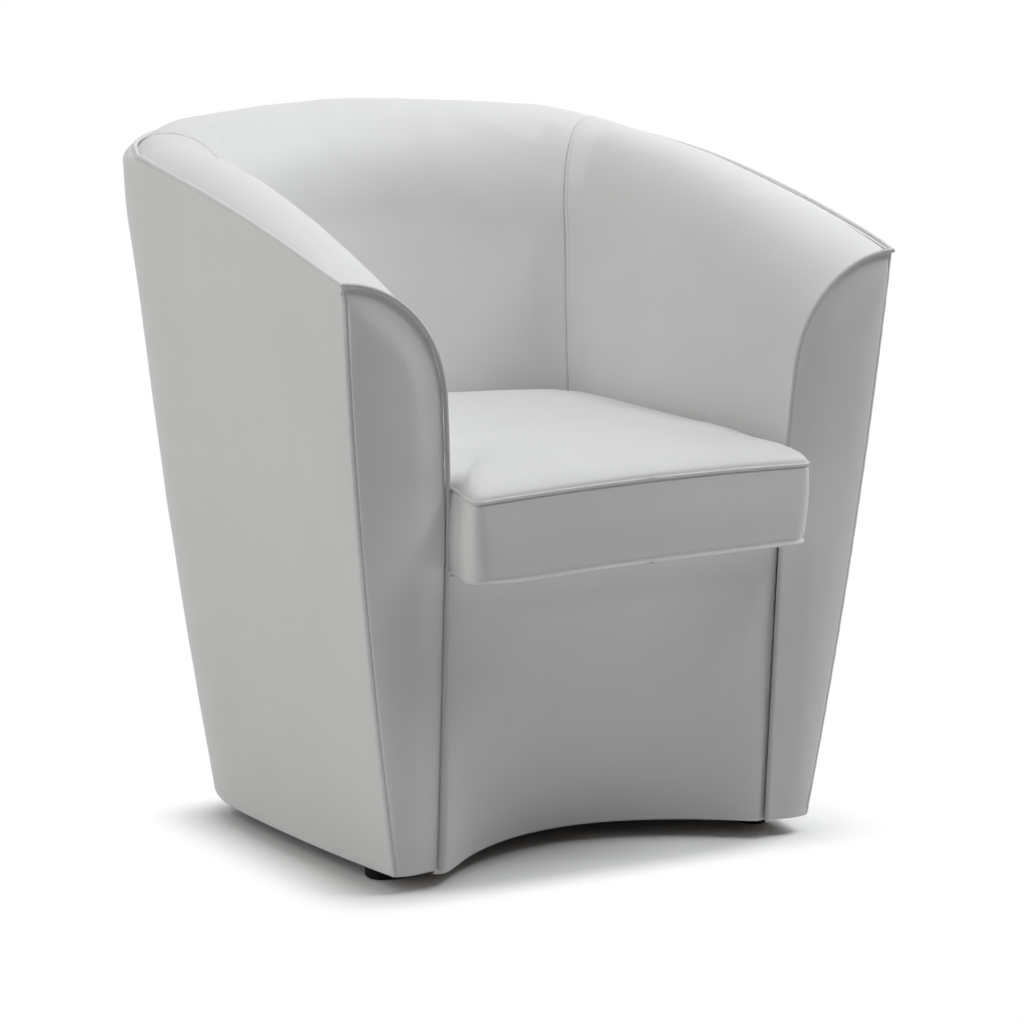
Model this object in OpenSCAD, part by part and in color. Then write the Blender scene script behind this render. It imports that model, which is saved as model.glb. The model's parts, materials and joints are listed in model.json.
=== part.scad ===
// Tub armchair with arms and back in one sweep, a loose seat cushion and four low glides.
// Millimetres. +Z is up, -Y is the front of the seat, +X is the sitter's left hand.
// The origin is on the floor, below the middle of the chair.

/* [Overall shape] */
// Height of the hem above the floor
hem_z = 20; // [16:1:40]
// Width of an arm's front at its foot, out from the line of the seat's side
arm_foot_w = 53.5; // [45:0.5:60]
// Width of an arm at the hem where the sides are widest
side_foot_w = 76.5; // [68:0.5:84]
// Width of the rolled top at the front of an arm
arm_top_w = 122; // [112:1:130]
// Width of an arm's top where the side ends, out from the line of the seat's side
side_top_w = 131.5; // [118:0.5:140]
// Height of the arms at the front
arm_z = 664; // [640:1:690]
// Rise of the outer top edge from the arm's front to where the back begins
side_rise = 95; // [75:1:115]
// Rise of the outer top edge from there to the middle of the back
back_rise = 37; // [20:1:50]
// How far in front of the seat's straight side the hem's straight side ends
hem_side_setback = 60; // [45:1:80]
// How far behind the seat's straight side the outer top edge's straight side ends
top_side_reach = 111; // [95:1:130]
// Radius of the rear corner at the hem
hem_corner_r = 250; // [220:1:270]
// Radius of the rear corner at the outer top edge
top_corner_r = 136; // [110:1:160]
// How far the arm fronts lean forward over their height
front_lean = 39.4; // [25:0.2:55]
// Fullness of the outer faces halfway up
side_bulge = 7.5; // [0:0.5:12]

/* [Inside of the tub] */
// Half width between the arms at the seat
seat_half_w = 213.5; // [205:0.5:220]
// How much farther out than at the seat the arm's inner face starts to roll over
roll_lead = 7.5; // [2:0.5:14]
// Depth below the outer top edge where the inner face starts to roll over, at the front
roll_front_drop = 134; // [118:1:150]
// The same depth where the side ends
roll_side_drop = 130; // [112:1:150]
// The same depth at the middle of the back
roll_back_drop = 116; // [98:1:134]
// Crown of the rolled top above a straight arm top, halfway along the arm
roll_crown = 29; // [15:1:35]
// Crown of the rolled top at the middle of the back
roll_back_crown = 30; // [18:1:42]
// Depth of the seat from the arm fronts to the straight side's end
seat_side_l = 402; // [385:1:415]
// Radius of the seat's rear corners
seat_corner_r = 66; // [55:1:75]

/* [Upholstery] */
// Thickness of the leather
cover_t = 2; // [1.4:0.1:2.4]
// Thickness of the foam on the arms' inner faces and on the back
foam_t = 32; // [26:1:36]
// Thickness of the padding on the outer sides
padding_t = 6; // [4:0.5:8]
// Thickness of the padding on the arm fronts
facing_padding_t = 8; // [5:0.5:10]
// Radius of the piping
welt_r = 2.5; // [1.8:0.1:3]
// How far the front panel's foot is drawn in at its middle
panel_draw = 87; // [60:1:95]

/* [Seat cushion] */
// Room between the cushion's front and the line of the seat's side
cushion_side_room = 7.5; // [4:0.5:12]
// How far the cushion stands in front of the arms at its underside
cushion_overhang = 60; // [45:1:75]
// Height of the cushion's side band between its two seams
cushion_band_h = 85; // [75:1:90]
// Crown of the cushion's top above its seam
cushion_crown = 28; // [18:1:34]
// Radius of the cushion's front corners
cushion_corner_r = 20; // [12:1:30]

/* [Frame] */
// Thickness of the bent plywood boards
board_t = 4; // [3:0.5:5]
// Thickness of the plywood arm fronts
arm_front_t = 15; // [12:1:18]
// Width of the base rails
base_rail_w = 45; // [38:1:45]
// Height of the base rails
base_rail_h = 30; // [24:1:36]
// Height of the seat rails' upper faces above the floor
seat_rail_z = 340; // [320:1:344]
// Height of a seat rail
seat_rail_h = 40; // [32:1:48]
// Thickness of the seat rails and posts
post_t = 28; // [22:1:30]
// Width of the straps under the seat
strap_w = 50; // [40:1:60]

/* [Feet] */
// Diameter of a glide
glide_d = 40; // [36:1:42]
// Diameter of the threaded stud of a glide
stud_d = 8; // [6:1:10]
// Distance of the front glides out from the line of the seat's side
front_glide_out = 26.5; // [20.5:0.5:28.5]
// Distance from the arm fronts back to the front glides
front_glide_back = 75; // [55:1:90]

/* [Hidden] */
gap = 0.3;
overrun = 10;

// Gap between curved layers, which their flat facets narrow
layer_gap = 0.9;

// Half the gap where neighbouring covers, foams or boards meet, in stations round the tub
seam_share = 0.001;

// Outlines and heights that follow the seat and the arms
hem_half_w = seat_half_w + arm_foot_w;
hem_side_half_w = seat_half_w + side_foot_w;
roll_half_w = seat_half_w + roll_lead;
top_half_w = roll_half_w + arm_top_w;
top_side_half_w = seat_half_w + side_top_w;
hem_side_l = seat_side_l - hem_side_setback;
top_side_l = seat_side_l + top_side_reach;
side_top_z = arm_z + side_rise;
back_top_z = side_top_z + back_rise;
roll_front_z = arm_z - roll_front_drop;
roll_side_z = side_top_z - roll_side_drop;
roll_back_z = back_top_z - roll_back_drop;
cushion_half_w = seat_half_w - cushion_side_room;

// Angles, distances and shares that shape the tub
back_turn = 70;
seat_turn = 60;
top_bow = 3;
top_arch = 11;
crest_power = 1.2;
roll_spread = 10;
roll_setback = 35.5;
waist_setback = 21;
waist_spread = 1;
roll_r_more = 14;
waist_r_more = 4;
seat_narrowing = 2.5;
foot_narrowing = 1.5;
waist_share = 0.509;
crest_front_share = 0.434;
crest_side_share = 0.7;
crest_back_share = 0.15;
shoulder_share = 0.03;
shoulder_height_share = 0.67;
crown_lift_share = 1.33;
core_crown_share = 0.4;

// Layers, counted inward from the leather's outer face
padding_in = cover_t + layer_gap;
board_in = padding_in + padding_t + layer_gap;
frame_in = board_in + board_t + layer_gap;
foam_depth = cover_t + layer_gap + foam_t + layer_gap;
core_inset = 15;
core_drop = 46;
cover_k = cover_t / foam_depth;
foam_k = (cover_t + layer_gap) / foam_depth;
foam_end_k = 1 - layer_gap / foam_depth;
board_k = 1;
board_end_k = board_k + board_t / foam_depth;
facing_board_in = cover_t + gap + facing_padding_t + gap;
behind_front = facing_board_in + arm_front_t + gap;
cover_top_drop = 4.2;
board_top_drop = 5;
edge_inset = cover_t + 2 * gap;
edge_k = 0.09;

// Heights under the seat
strap_t = 2;
deck_t = 1.5;
cross_strap_z = seat_rail_z + gap;
long_strap_z = cross_strap_z + strap_t + gap;
seat_deck_z = long_strap_z + strap_t + gap;
deck_z = seat_deck_z + deck_t + gap;
waist_z = mix(deck_z, roll_front_z, waist_share);
base_z = hem_z + 2;
base_top_z = base_z + base_rail_h;

// Heights and sizes of the rails and posts
arm_rail_share = 0.5;
arm_rail_h = 26;
arm_rail_drop = 68;
back_rail_share = 0.64;
back_rail_h = 80;
back_rail_drop = 68;
post_from_share = 1.375;
post_to_share = 1.625;
stud_from_share = 2.4;
stud_to_share = 2.6;
seat_rail_in = frame_in + post_t + layer_gap;

// Cushion
cushion_base_z = deck_z;
cushion_low_seam_z = cushion_base_z + 6;
cushion_seam_z = cushion_low_seam_z + cushion_band_h;
cushion_side_gap = 2.5;
cushion_draw_in = 1.5;
cushion_band_bulge = 2.5;
cushion_core_in = cover_t + gap;
cushion_turn = 60;
cushion_shares = [1, 0.97, 0.9, 0.76, 0.55, 0.3];
cushion_low_shares = [1, 0.93, 0.6];
cushion_front_shares = [0, 0.33, 0.67];
cushion_way_shares = [0.2, 0.4, 0.6, 0.8, 1, 1.25, 1.5, 1.75, 2, 2.25, 2.5, 2.75, 3];
cushion_corner_steps = 3;
pillow_power = 6;

// Zip slider at the back of the cushion
zip_start = 20;
slider_w = 8;
slider_h = 12;
slider_t = 2.4;
puller_h = 22;
puller_t = 1;

// Glides, studs and nuts
glide_disc_h = 15;
glide_edge = 3;
glide_collar_d = 20;
glide_bore_depth = 9;
stud_top_z = base_top_z - gap;
nut_d = stud_d + 3;
nut_flange_d = stud_d + 14;
nut_flange_t = 1.6;
nut_h = 10;
rear_glide_share = 1.75;
dust_cover_t = 0.8;
dust_cover_in = 17;
collar_clearance = 2;

// Front panel
panel_recess = 3;
panel_gap = 0.6;
panel_straight_z = seat_rail_z - seat_rail_h;
panel_steps = 8;
panel_rows = 5;

// Guides in plan: front x, front y, side's end x, side's end y, corner radius, corner turn, bow
hem_guide = [hem_half_w, 0, hem_side_half_w, hem_side_l, hem_corner_r, back_turn, 0];
top_guide = [top_half_w, -lean(arm_z), top_side_half_w, top_side_l - lean(arm_z), top_corner_r,
             back_turn, top_bow];
seat_side_y = seat_side_l - lean(deck_z);
roll_guide = [roll_half_w, -lean(roll_front_z), seat_half_w + roll_spread, seat_side_y + roll_setback,
              seat_corner_r + roll_r_more, seat_turn, 0];
waist_guide = [seat_half_w + waist_spread / 2, -lean(waist_z), seat_half_w - waist_spread,
               seat_side_y + waist_setback, seat_corner_r + waist_r_more, seat_turn, 0];
seat_guide = [seat_half_w, -lean(deck_z), seat_half_w - seat_narrowing, seat_side_y, seat_corner_r,
              seat_turn, 0];
cushion_guide = [cushion_half_w, cushion_corner_r - cushion_overhang - lean(deck_z),
                 seat_half_w - seat_narrowing - cushion_side_gap, seat_side_y,
                 seat_corner_r - cushion_side_gap, cushion_turn, -cushion_draw_in];

// Room between the outer boards and the foam, where the top starts to roll
function room_at(w) =
    (plan_at(top_guide, w) - plan_at(roll_guide, w)) * outward(w) - frame_in - foam_depth;
arm_rail_w = arm_rail_share * room_at(1);
back_rail_t = back_rail_share * room_at(3);

// Where the arm fronts' hem lies, so that the chair is centred front to back
cushion_reach = cushion_overhang + lean(deck_z) + cushion_band_bulge;
back_reach = plan_at(top_guide, 3).y + (welt_r + gap) * cos(45) + welt_r;
front_y = (cushion_reach - back_reach) / 2;
lean_angle = atan(front_lean / (arm_z - hem_z));

// Stations run from the left arm front (0) round the back (3) to the right arm front (6)
half_stations = concat([for (i = [0:6]) i / 6], [for (i = [1:8]) 1 + i / 8], [for (i = [1:5]) 2 + i / 5]);
all_stations = concat(half_stations, [for (i = [len(half_stations) - 2:-1:0]) 6 - half_stations[i]]);
arm_seam_share = 1.5;
back_seam_share = 2;

function mix(a, b, s) = a + (b - a) * s;
function ease(s) = 1 - pow(1 - s, crest_power);
function lean(z) = front_lean * (z - hem_z) / (arm_z - hem_z);
function stations(from, to) =
    concat([from], [for (u = all_stations) if (u > from + seam_share && u < to - seam_share) u], [to]);

// A guide's point at a station of its own half
function plan_at(g, w) =
    w <= 1 ? [mix(g[0], g[2], w * (2 - w)) + 4 * g[6] * w * (1 - w), mix(g[1], g[3], w)]
    : w <= 2 ? [g[2] - g[4] * (1 - cos(g[5] * (w - 1))), g[3] + g[4] * sin(g[5] * (w - 1))]
    : back_arc(g, 90 - g[5], w);

// The last stretch of a guide, one arc that ends square to the middle plane
function back_arc(g, rest, w) =
    let (r = (g[2] - g[4] * (1 - cos(g[5]))) / sin(rest))
    [r * sin(rest * (3 - w)), g[3] + g[4] * sin(g[5]) + r * (cos(rest * (3 - w)) - cos(rest))];

// The station on a guide when its front is set back by a distance
function along(g, w, back) = w >= 1 ? w : mix(back / (g[3] - g[1]), 1, w);
function half(u) = u <= 3 ? u : 6 - u;
function handed(u, p, z) = [u <= 3 ? p.x : -p.x, p.y + front_y, z];

// The direction out of the tub in plan
function heading(w) = w <= 1 ? 0 : w <= 2 ? back_turn * (w - 1) : mix(back_turn, 90, w - 2);
function outward(w) = [cos(heading(w)), sin(heading(w))];

function round_share(w) = ease((w - 1) / 2);
function welt_z(w) =
    w <= 1 ? mix(arm_z, side_top_z, w) + 4 * top_arch * w * (1 - w)
    : mix(side_top_z, back_top_z, round_share(w));
function roll_z(w) =
    w <= 1 ? mix(roll_front_z, roll_side_z, w) : mix(roll_side_z, roll_back_z, round_share(w));
function crown_at(w) =
    w <= 1 ? roll_crown * w * (3 - 2 * w) : mix(roll_crown, roll_back_crown, round_share(w));
function crest_share(w) =
    w <= 1 ? mix(crest_front_share, crest_side_share, w)
    : mix(crest_side_share, crest_back_share, (w - 1) / 2);

// A height is above the floor, or below the outer top edge when it is zero or less
function height(u, h, back) = h > 0 ? h : welt_z(along(top_guide, half(u), back)) + h;

// A point of the outer face at a height, moved into the tub by a depth
function outer_at(u, z, depth, back = 0) =
    let (w = along(top_guide, half(u), back))
    let (hem = plan_at(hem_guide, along(hem_guide, half(u), back)), top = plan_at(top_guide, w))
    let (s = (z - hem_z) / (welt_z(w) - hem_z))
    handed(u, mix(hem, top, s) + (4 * side_bulge * s * (1 - s) - depth) * outward(w), z);

// A guide's point moved outward, for the layers behind the inner leather
function inner_plan(g, m, k, back, n) = plan_at(g, along(g, m, back)) + k * foam_depth * n;

// A point of the inner leather: v runs 0 to 1 over the roll, and 1 to 2 down the inner face.
// Layer k is 0 at the leather's face and 1 at the frame.
function inner_at(u, v, k, back = 0) =
    let (m = half(u), w = along(top_guide, half(u), back), n = outward(w))
    let (roll = inner_plan(roll_guide, m, k, back, n), low_z = roll_z(along(roll_guide, m, back)))
    v <= 1 ? over_roll(u, v, k, w, n, roll, low_z)
    : down_face(u, v - 1, roll, low_z, inner_plan(waist_guide, m, k, back, n),
                inner_plan(seat_guide, m, k, back, n));

// The roll is a curve with four control points in the upright section
function over_roll(u, v, k, w, n, roll, low_z) =
    let (lean_back = [0, lean(hem_z + k * core_drop)] * (1 - min(w, 1)))
    let (top = plan_at(top_guide, w) - k * core_inset * n + lean_back, top_z = welt_z(w) - k * core_drop)
    let (t = [-n.y, n.x], across = (top - roll) * n, length = (top - roll) * t)
    let (crown = crown_at(w) * mix(1, core_crown_share, k))
    let (crest = roll + n * across * (1 - crest_share(w)) + t * length)
    let (shoulder = roll + n * across * shoulder_share + t * length * shoulder_height_share)
    let (shoulder_z = mix(low_z, top_z, shoulder_height_share) + crown)
    handed(u, bezier([top, crest, shoulder, roll], v),
           bezier([top_z, top_z + crown_lift_share * crown, shoulder_z, low_z], v));

function bezier(p, s) =
    pow(1 - s, 3) * p[0] + 3 * pow(1 - s, 2) * s * p[1] + 3 * (1 - s) * s * s * p[2] + pow(s, 3) * p[3];

function down_face(u, s, roll, low_z, waist, seat) =
    handed(u, bow(roll, waist, seat, s), bow(low_z, waist_z, deck_z, s));
function bow(a, b, c, s) = (1 - s) * (1 - s) * a + 2 * s * (1 - s) * b + s * s * c;

// The v at which the roll has come in from the outer top edge by a distance
function edge_v(u, inset) =
    let (w = half(u), n = outward(half(u)))
    let (across = (plan_at(top_guide, w) - plan_at(roll_guide, w)) * n)
    inset / (3 * crest_share(w) * across);

function quad(a, b, c, d) = [[a, b, c], [a, c, d]];

// A closed solid between two grids of points of the same size
module slab(face, rear) {
    rows = len(face);
    cols = len(face[0]);
    n = rows * cols;
    end = n - cols;
    points = [for (grid = [face, rear]) for (row = grid) each row];
    skin = [for (i = [0:rows - 2], j = [0:cols - 2]) each
            quad(i * cols + j, (i + 1) * cols + j, (i + 1) * cols + j + 1, i * cols + j + 1)];
    under = [for (f = skin) [n + f[2], n + f[1], n + f[0]]];
    ends = [for (j = [0:cols - 2]) each concat(
                quad(j, j + 1, n + j + 1, n + j),
                quad(end + j + 1, end + j, n + end + j, n + end + j + 1))];
    sides = [for (i = [0:rows - 2], a = [i * cols], b = [(i + 1) * cols]) each concat(
                quad(b, a, n + a, n + b),
                quad(a + cols - 1, b + cols - 1, n + b + cols - 1, n + a + cols - 1))];
    polyhedron(points, concat(skin, under, ends, sides));
}

// A layer of the outer face between two stations, two heights and two depths
module outer_layer(from, to, low, high, depth_a, depth_b, back = 0, rows = 6) {
    us = stations(from, to);
    grids = [for (d = [depth_a, depth_b]) [for (u = us) [for (i = [0:rows])
                outer_at(u, mix(height(u, low, back), height(u, high, back), i / rows), d, back)]]];
    slab(grids[1], grids[0]);
}

// A layer of the rolled and inner face between two stations and two layers
module inner_layer(from, to, k_a, k_b, back = 0, inset = 0, least = 0, roll_rows = 10, face_rows = 4) {
    us = stations(from, to);
    grids = [for (k = [k_a, k_b]) [for (u = us) concat(
                [for (i = [0:roll_rows])
                    inner_at(u, mix(max(edge_v(u, inset), least), 1, i / roll_rows), k, back)],
                [for (i = [1:face_rows]) inner_at(u, 1 + i / face_rows, k, back)])]];
    slab(grids[1], grids[0]);
}

// A tube of eight sides along rings of centre, first direction and second direction
module tube(rings, r, sides = 8) {
    count = len(rings);
    points = [for (g = rings, i = [0:sides - 1])
                g[0] + r * (cos(i * 360 / sides) * g[1] + sin(i * 360 / sides) * g[2])];
    walls = [for (i = [0:count - 2], j = [0:sides - 1], k = [(j + 1) % sides]) each
                quad(i * sides + j, i * sides + k, (i + 1) * sides + k, (i + 1) * sides + j)];
    caps = [[for (j = [sides - 1:-1:0]) j], [for (j = [0:sides - 1]) (count - 1) * sides + j]];
    polyhedron(points, concat(walls, caps));
}

// The left arm front's outline in its own leaning plane
function flat(p) = [p.x, (p.z - hem_z) / cos(lean_angle)];
roll_steps = 14;
function front_edge(k) = concat(
    [for (i = [1:roll_steps]) flat(inner_at(0, i / roll_steps, k))],
    [for (i = [1:4]) flat(inner_at(0, 1 + i / 4, k))],
    [[seat_half_w - foot_narrowing + k * foam_depth, 0]]);
function front_outline(depth, k, drop) = concat(
    [for (i = [0:6]) flat(outer_at(0, mix(hem_z, arm_z - drop, i / 6), depth))],
    front_edge(k));

// Stands a drawing of the arm front's plane in its place, behind the leather by a depth
module in_front_plane(depth, thickness) {
    translate([0, front_y, hem_z])
        rotate([90 + lean_angle, 0, 0])
            translate([0, 0, -depth - thickness])
                linear_extrude(thickness)
                    children();
}

module mirrored() {
    mirror([1, 0, 0])
        children();
}

leather = "gainsboro";
foam = "khaki";
timber = "burlywood";
plywood = "tan";
webbing = "dimgray";
metal = "silver";
plastic = "black";

// Leather covers

module left_outer_cover() {
    color(leather)
        outer_layer(0, back_seam_share - seam_share, hem_z, -cover_top_drop, 0, cover_t,
                    back = cover_t + gap);
}

module right_outer_cover() {
    mirrored()
        left_outer_cover();
}

module outer_back_cover() {
    color(leather)
        outer_layer(back_seam_share + seam_share, 6 - back_seam_share - seam_share, hem_z, -cover_top_drop,
                    0, cover_t);
}

module left_facing_cover() {
    color(leather)
        in_front_plane(0, cover_t)
            polygon(front_outline(0, 0, 0));
}

module right_facing_cover() {
    mirrored()
        left_facing_cover();
}

module left_arm_cover() {
    color(leather)
        inner_layer(0, arm_seam_share - seam_share, 0, cover_k, back = cover_t + gap);
}

module right_arm_cover() {
    mirrored()
        left_arm_cover();
}

module inner_back_cover() {
    color(leather)
        inner_layer(arm_seam_share + seam_share, 6 - arm_seam_share - seam_share, 0, cover_k);
}

// The front panel is straight under the seat and drawn in towards its foot
function panel_draw_at(z) = panel_draw * max(0, (panel_straight_z - z) / (panel_straight_z - hem_z));
function panel_y(a, z) = front_y - lean(z) + panel_recess + panel_draw_at(z) * cos(90 * a);
function panel_half_w(z) =
    seat_half_w - foot_narrowing * (deck_z - z) / (deck_z - hem_z) - panel_gap;
function panel_grid(depth, low, high) =
    [for (i = [-panel_steps:panel_steps]) [for (j = [0:panel_rows])
        let (a = i / panel_steps)
        let (z = j < panel_rows ? mix(low, panel_straight_z, j / (panel_rows - 1)) : high)
        [a * panel_half_w(z), panel_y(a, z) + depth, z]]];

module panel_layer(depth, thickness, low, high) {
    slab(panel_grid(depth, low, high), panel_grid(depth + thickness, low, high));
}

module front_panel_cover() {
    color(leather)
        panel_layer(0, cover_t, hem_z, seat_deck_z);
}

// Piping

module left_facing_welt() {
    edge = concat([flat(outer_at(0, arm_z, 0))], front_edge(0));
    last = len(edge) - 1;
    offset_in = (welt_r + gap) * cos(45);
    plane_up = [0, -sin(lean_angle), cos(lean_angle)];
    forward = [0, -cos(lean_angle), -sin(lean_angle)];
    rings = [for (i = [0:last])
        let (d = edge[min(i + 1, last)] - edge[max(i - 1, 0)], flat_n = [d.y, -d.x] / norm(d))
        let (n = [flat_n.x, 0, 0] + flat_n.y * plane_up)
        [[edge[i].x, front_y, hem_z] + edge[i].y * plane_up + offset_in * (n + forward), n, forward]];
    color(leather)
        tube(rings, welt_r);
}

module right_facing_welt() {
    mirrored()
        left_facing_welt();
}

module top_welt() {
    offset_out = (welt_r + gap) * cos(45);
    rings = [for (u = stations(0, 6))
        let (w = along(top_guide, half(u), 1), n = outward(w), side = u <= 3 ? 1 : -1)
        let (out = [side * n.x, n.y, 0], up = [0, 0, 1])
        [handed(u, plan_at(top_guide, w), welt_z(w)) + offset_out * (out + up), out, up]];
    color(leather)
        tube(rings, welt_r);
}

// Foam and padding

module left_arm_foam() {
    color(foam)
        inner_layer(0, arm_seam_share - seam_share, foam_k, foam_end_k, back = behind_front,
                    inset = frame_in);
}

module right_arm_foam() {
    mirrored()
        left_arm_foam();
}

module back_foam() {
    color(foam)
        inner_layer(arm_seam_share + seam_share, 6 - arm_seam_share - seam_share, foam_k, foam_end_k,
                    inset = frame_in);
}

module left_side_padding() {
    color(foam)
        outer_layer(0, back_seam_share - seam_share, base_z, -board_top_drop, padding_in,
                    padding_in + padding_t, back = behind_front);
}

module right_side_padding() {
    mirrored()
        left_side_padding();
}

module outer_back_padding() {
    color(foam)
        outer_layer(back_seam_share + seam_share, 6 - back_seam_share - seam_share, base_z, -board_top_drop,
                    padding_in, padding_in + padding_t);
}

module left_facing_padding() {
    color(foam)
        in_front_plane(cover_t + gap, facing_padding_t)
            polygon(front_outline(edge_inset, edge_k, cover_top_drop));
}

module right_facing_padding() {
    mirrored()
        left_facing_padding();
}

module front_panel_padding() {
    color(foam)
        panel_layer(padding_in, padding_t, base_z, seat_rail_z);
}

// Bent plywood boards

module left_outer_board() {
    color(plywood)
        outer_layer(0, back_seam_share - seam_share, base_z, -board_top_drop, board_in, board_in + board_t,
                    back = behind_front);
}

module right_outer_board() {
    mirrored()
        left_outer_board();
}

module outer_back_board() {
    color(plywood)
        outer_layer(back_seam_share + seam_share, 6 - back_seam_share - seam_share, base_z, -board_top_drop,
                    board_in, board_in + board_t);
}

inner_board_from_share = 0.72;

module left_inner_board() {
    color(plywood)
        inner_layer(0, post_from_share - 2 * seam_share, board_k, board_end_k, back = behind_front,
                    least = inner_board_from_share, roll_rows = 3, face_rows = 3);
}

module right_inner_board() {
    mirrored()
        left_inner_board();
}

module inner_back_board() {
    color(plywood)
        inner_layer(post_from_share + seam_share, 6 - post_from_share - seam_share, board_k, board_end_k,
                    least = inner_board_from_share, roll_rows = 3, face_rows = 3);
}

module front_panel_board() {
    color(plywood)
        panel_layer(board_in, board_t, base_z, seat_rail_z);
}

// Timber frame

module left_arm_front() {
    color(plywood)
        in_front_plane(facing_board_in, arm_front_t)
            polygon(front_outline(edge_inset, edge_k, cover_top_drop));
}

module right_arm_front() {
    mirrored()
        left_arm_front();
}

module left_arm_rail() {
    color(timber)
        outer_layer(0, post_from_share - seam_share, -arm_rail_drop - arm_rail_h, -arm_rail_drop,
                    frame_in, frame_in + arm_rail_w, back = behind_front, rows = 1);
}

module right_arm_rail() {
    mirrored()
        left_arm_rail();
}

module back_top_rail() {
    color(plywood)
        outer_layer(post_from_share + seam_share, 6 - post_from_share - seam_share,
                    -back_rail_drop - back_rail_h, -back_rail_drop, frame_in,
                    frame_in + back_rail_t, rows = 1);
}

// A flat rail along the hem, between two stations
module base_rail(from, to, back = 0) {
    us = stations(from, to);
    outer = [for (u = us) outer_at(u, base_z, frame_in, back)];
    inner = [for (u = us) outer_at(u, base_z, frame_in + base_rail_w, back)];
    translate([0, 0, base_z])
        linear_extrude(base_rail_h)
            polygon([for (p = concat(outer, [for (i = [len(us) - 1:-1:0]) inner[i]])) [p.x, p.y]]);
}

// Where the left glides stand
front_glide = [seat_half_w + front_glide_out, front_y + front_glide_back];
rear_glide_at = outer_at(rear_glide_share, base_z, frame_in + base_rail_w / 2);
rear_glide = [rear_glide_at.x, rear_glide_at.y];

module left_base_rail() {
    color(timber)
        difference() {
            base_rail(0, back_seam_share - 5 * seam_share, back = behind_front);
            for (p = [front_glide, rear_glide])
                translate([p.x, p.y, base_z - overrun])
                    cylinder(d = nut_d + 2 * gap, h = base_rail_h + 2 * overrun, $fn = 48);
        }
}

module right_base_rail() {
    mirrored()
        left_base_rail();
}

module rear_base_rail() {
    color(timber)
        base_rail(back_seam_share, 6 - back_seam_share);
}

module front_base_rail() {
    half_w = hem_half_w - frame_in - base_rail_w - gap;
    reach = half_w / panel_half_w(hem_z);
    xs = [for (i = [-panel_steps:panel_steps]) i / panel_steps];
    near = [for (a = xs) [a * half_w, panel_y(a * reach, hem_z) + frame_in]];
    far = [for (p = near) [p.x, p.y + post_t]];
    color(timber)
        translate([0, 0, base_z])
            linear_extrude(base_rail_h)
                polygon(concat(near, [for (i = [len(xs) - 1:-1:0]) far[i]]));
}

module left_rear_post() {
    color(timber)
        outer_layer(post_from_share, post_to_share, base_top_z + gap,
                    -back_rail_drop - back_rail_h - gap, frame_in, frame_in + post_t, rows = 3);
}

module right_rear_post() {
    mirrored()
        left_rear_post();
}

module back_studs() {
    color(timber)
        for (u = [stud_from_share, 6 - stud_to_share])
            outer_layer(u, u + stud_to_share - stud_from_share, base_top_z + gap,
                        -back_rail_drop - back_rail_h - gap, frame_in, frame_in + post_t, rows = 3);
}

module left_seat_rail() {
    color(timber)
        outer_layer(0, post_from_share - seam_share, seat_rail_z - seat_rail_h, seat_rail_z, frame_in,
                    frame_in + post_t, back = behind_front, rows = 1);
}

module right_seat_rail() {
    mirrored()
        left_seat_rail();
}

front_rail_y = front_y - lean(panel_straight_z) + panel_recess + frame_in;

module front_seat_rail() {
    half_w = seat_half_w;
    color(timber)
        translate([-half_w, front_rail_y, seat_rail_z - seat_rail_h])
            cube([2 * half_w, post_t, seat_rail_h]);
}

module rear_seat_rail() {
    color(timber)
        outer_layer(post_from_share, 6 - post_from_share, seat_rail_z - seat_rail_h, seat_rail_z,
                    seat_rail_in, seat_rail_in + post_t, rows = 1);
}

// Seat suspension

cross_strap_shares = [0.13, 0.34, 0.55, 0.76];
long_strap_shares = [2.77, 2.3];
strap_end_in = 6;

module crosswise_straps() {
    rear_y = outer_at(3, seat_rail_z, seat_rail_in).y;
    color(webbing)
        for (s = cross_strap_shares) {
            y = mix(front_rail_y, rear_y, s);
            half_l = hem_side_half_w - strap_end_in;
            translate([-half_l, y - strap_w / 2, cross_strap_z])
                cube([2 * half_l, strap_w, strap_t]);
        }
}

module lengthwise_straps() {
    color(webbing)
        for (u = long_strap_shares, side = [-1, 1]) {
            rear = outer_at(u, seat_rail_z, seat_rail_in + strap_end_in);
            start_y = front_rail_y + strap_end_in;
            translate([side * rear.x - strap_w / 2, start_y, long_strap_z])
                cube([strap_w, rear.y - start_y, strap_t]);
        }
}

module seat_deck() {
    us = stations(0, 6);
    rim = [for (u = us) outer_at(u, seat_rail_z, seat_rail_in, behind_front)];
    half_w = seat_half_w;
    front = [[-half_w, rim[0].y], [-half_w, front_rail_y], [half_w, front_rail_y], [half_w, rim[0].y]];
    color(webbing)
        translate([0, 0, seat_deck_z])
            linear_extrude(deck_t)
                polygon(concat([for (p = rim) [p.x, p.y]], front));
}

module dust_cover() {
    rim = [for (u = stations(0, 6)) outer_at(u, hem_z, dust_cover_in, behind_front)];
    near = [for (i = [-panel_steps:panel_steps], a = [i / panel_steps])
                [a * panel_half_w(hem_z), panel_y(a, hem_z) + dust_cover_in + post_t / 2]];
    color(webbing)
        translate([0, 0, base_z - gap - dust_cover_t])
            difference() {
                linear_extrude(dust_cover_t)
                    polygon(concat([for (p = rim) [p.x, p.y]], near));
                for (p = [front_glide, rear_glide], side = [-1, 1])
                    translate([side * p.x, p.y, -overrun])
                        cylinder(d = glide_collar_d + 2 * collar_clearance, h = 2 * overrun, $fn = 48);
            }
}

// Glides, with a stud that screws into a nut in the base rail

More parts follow.
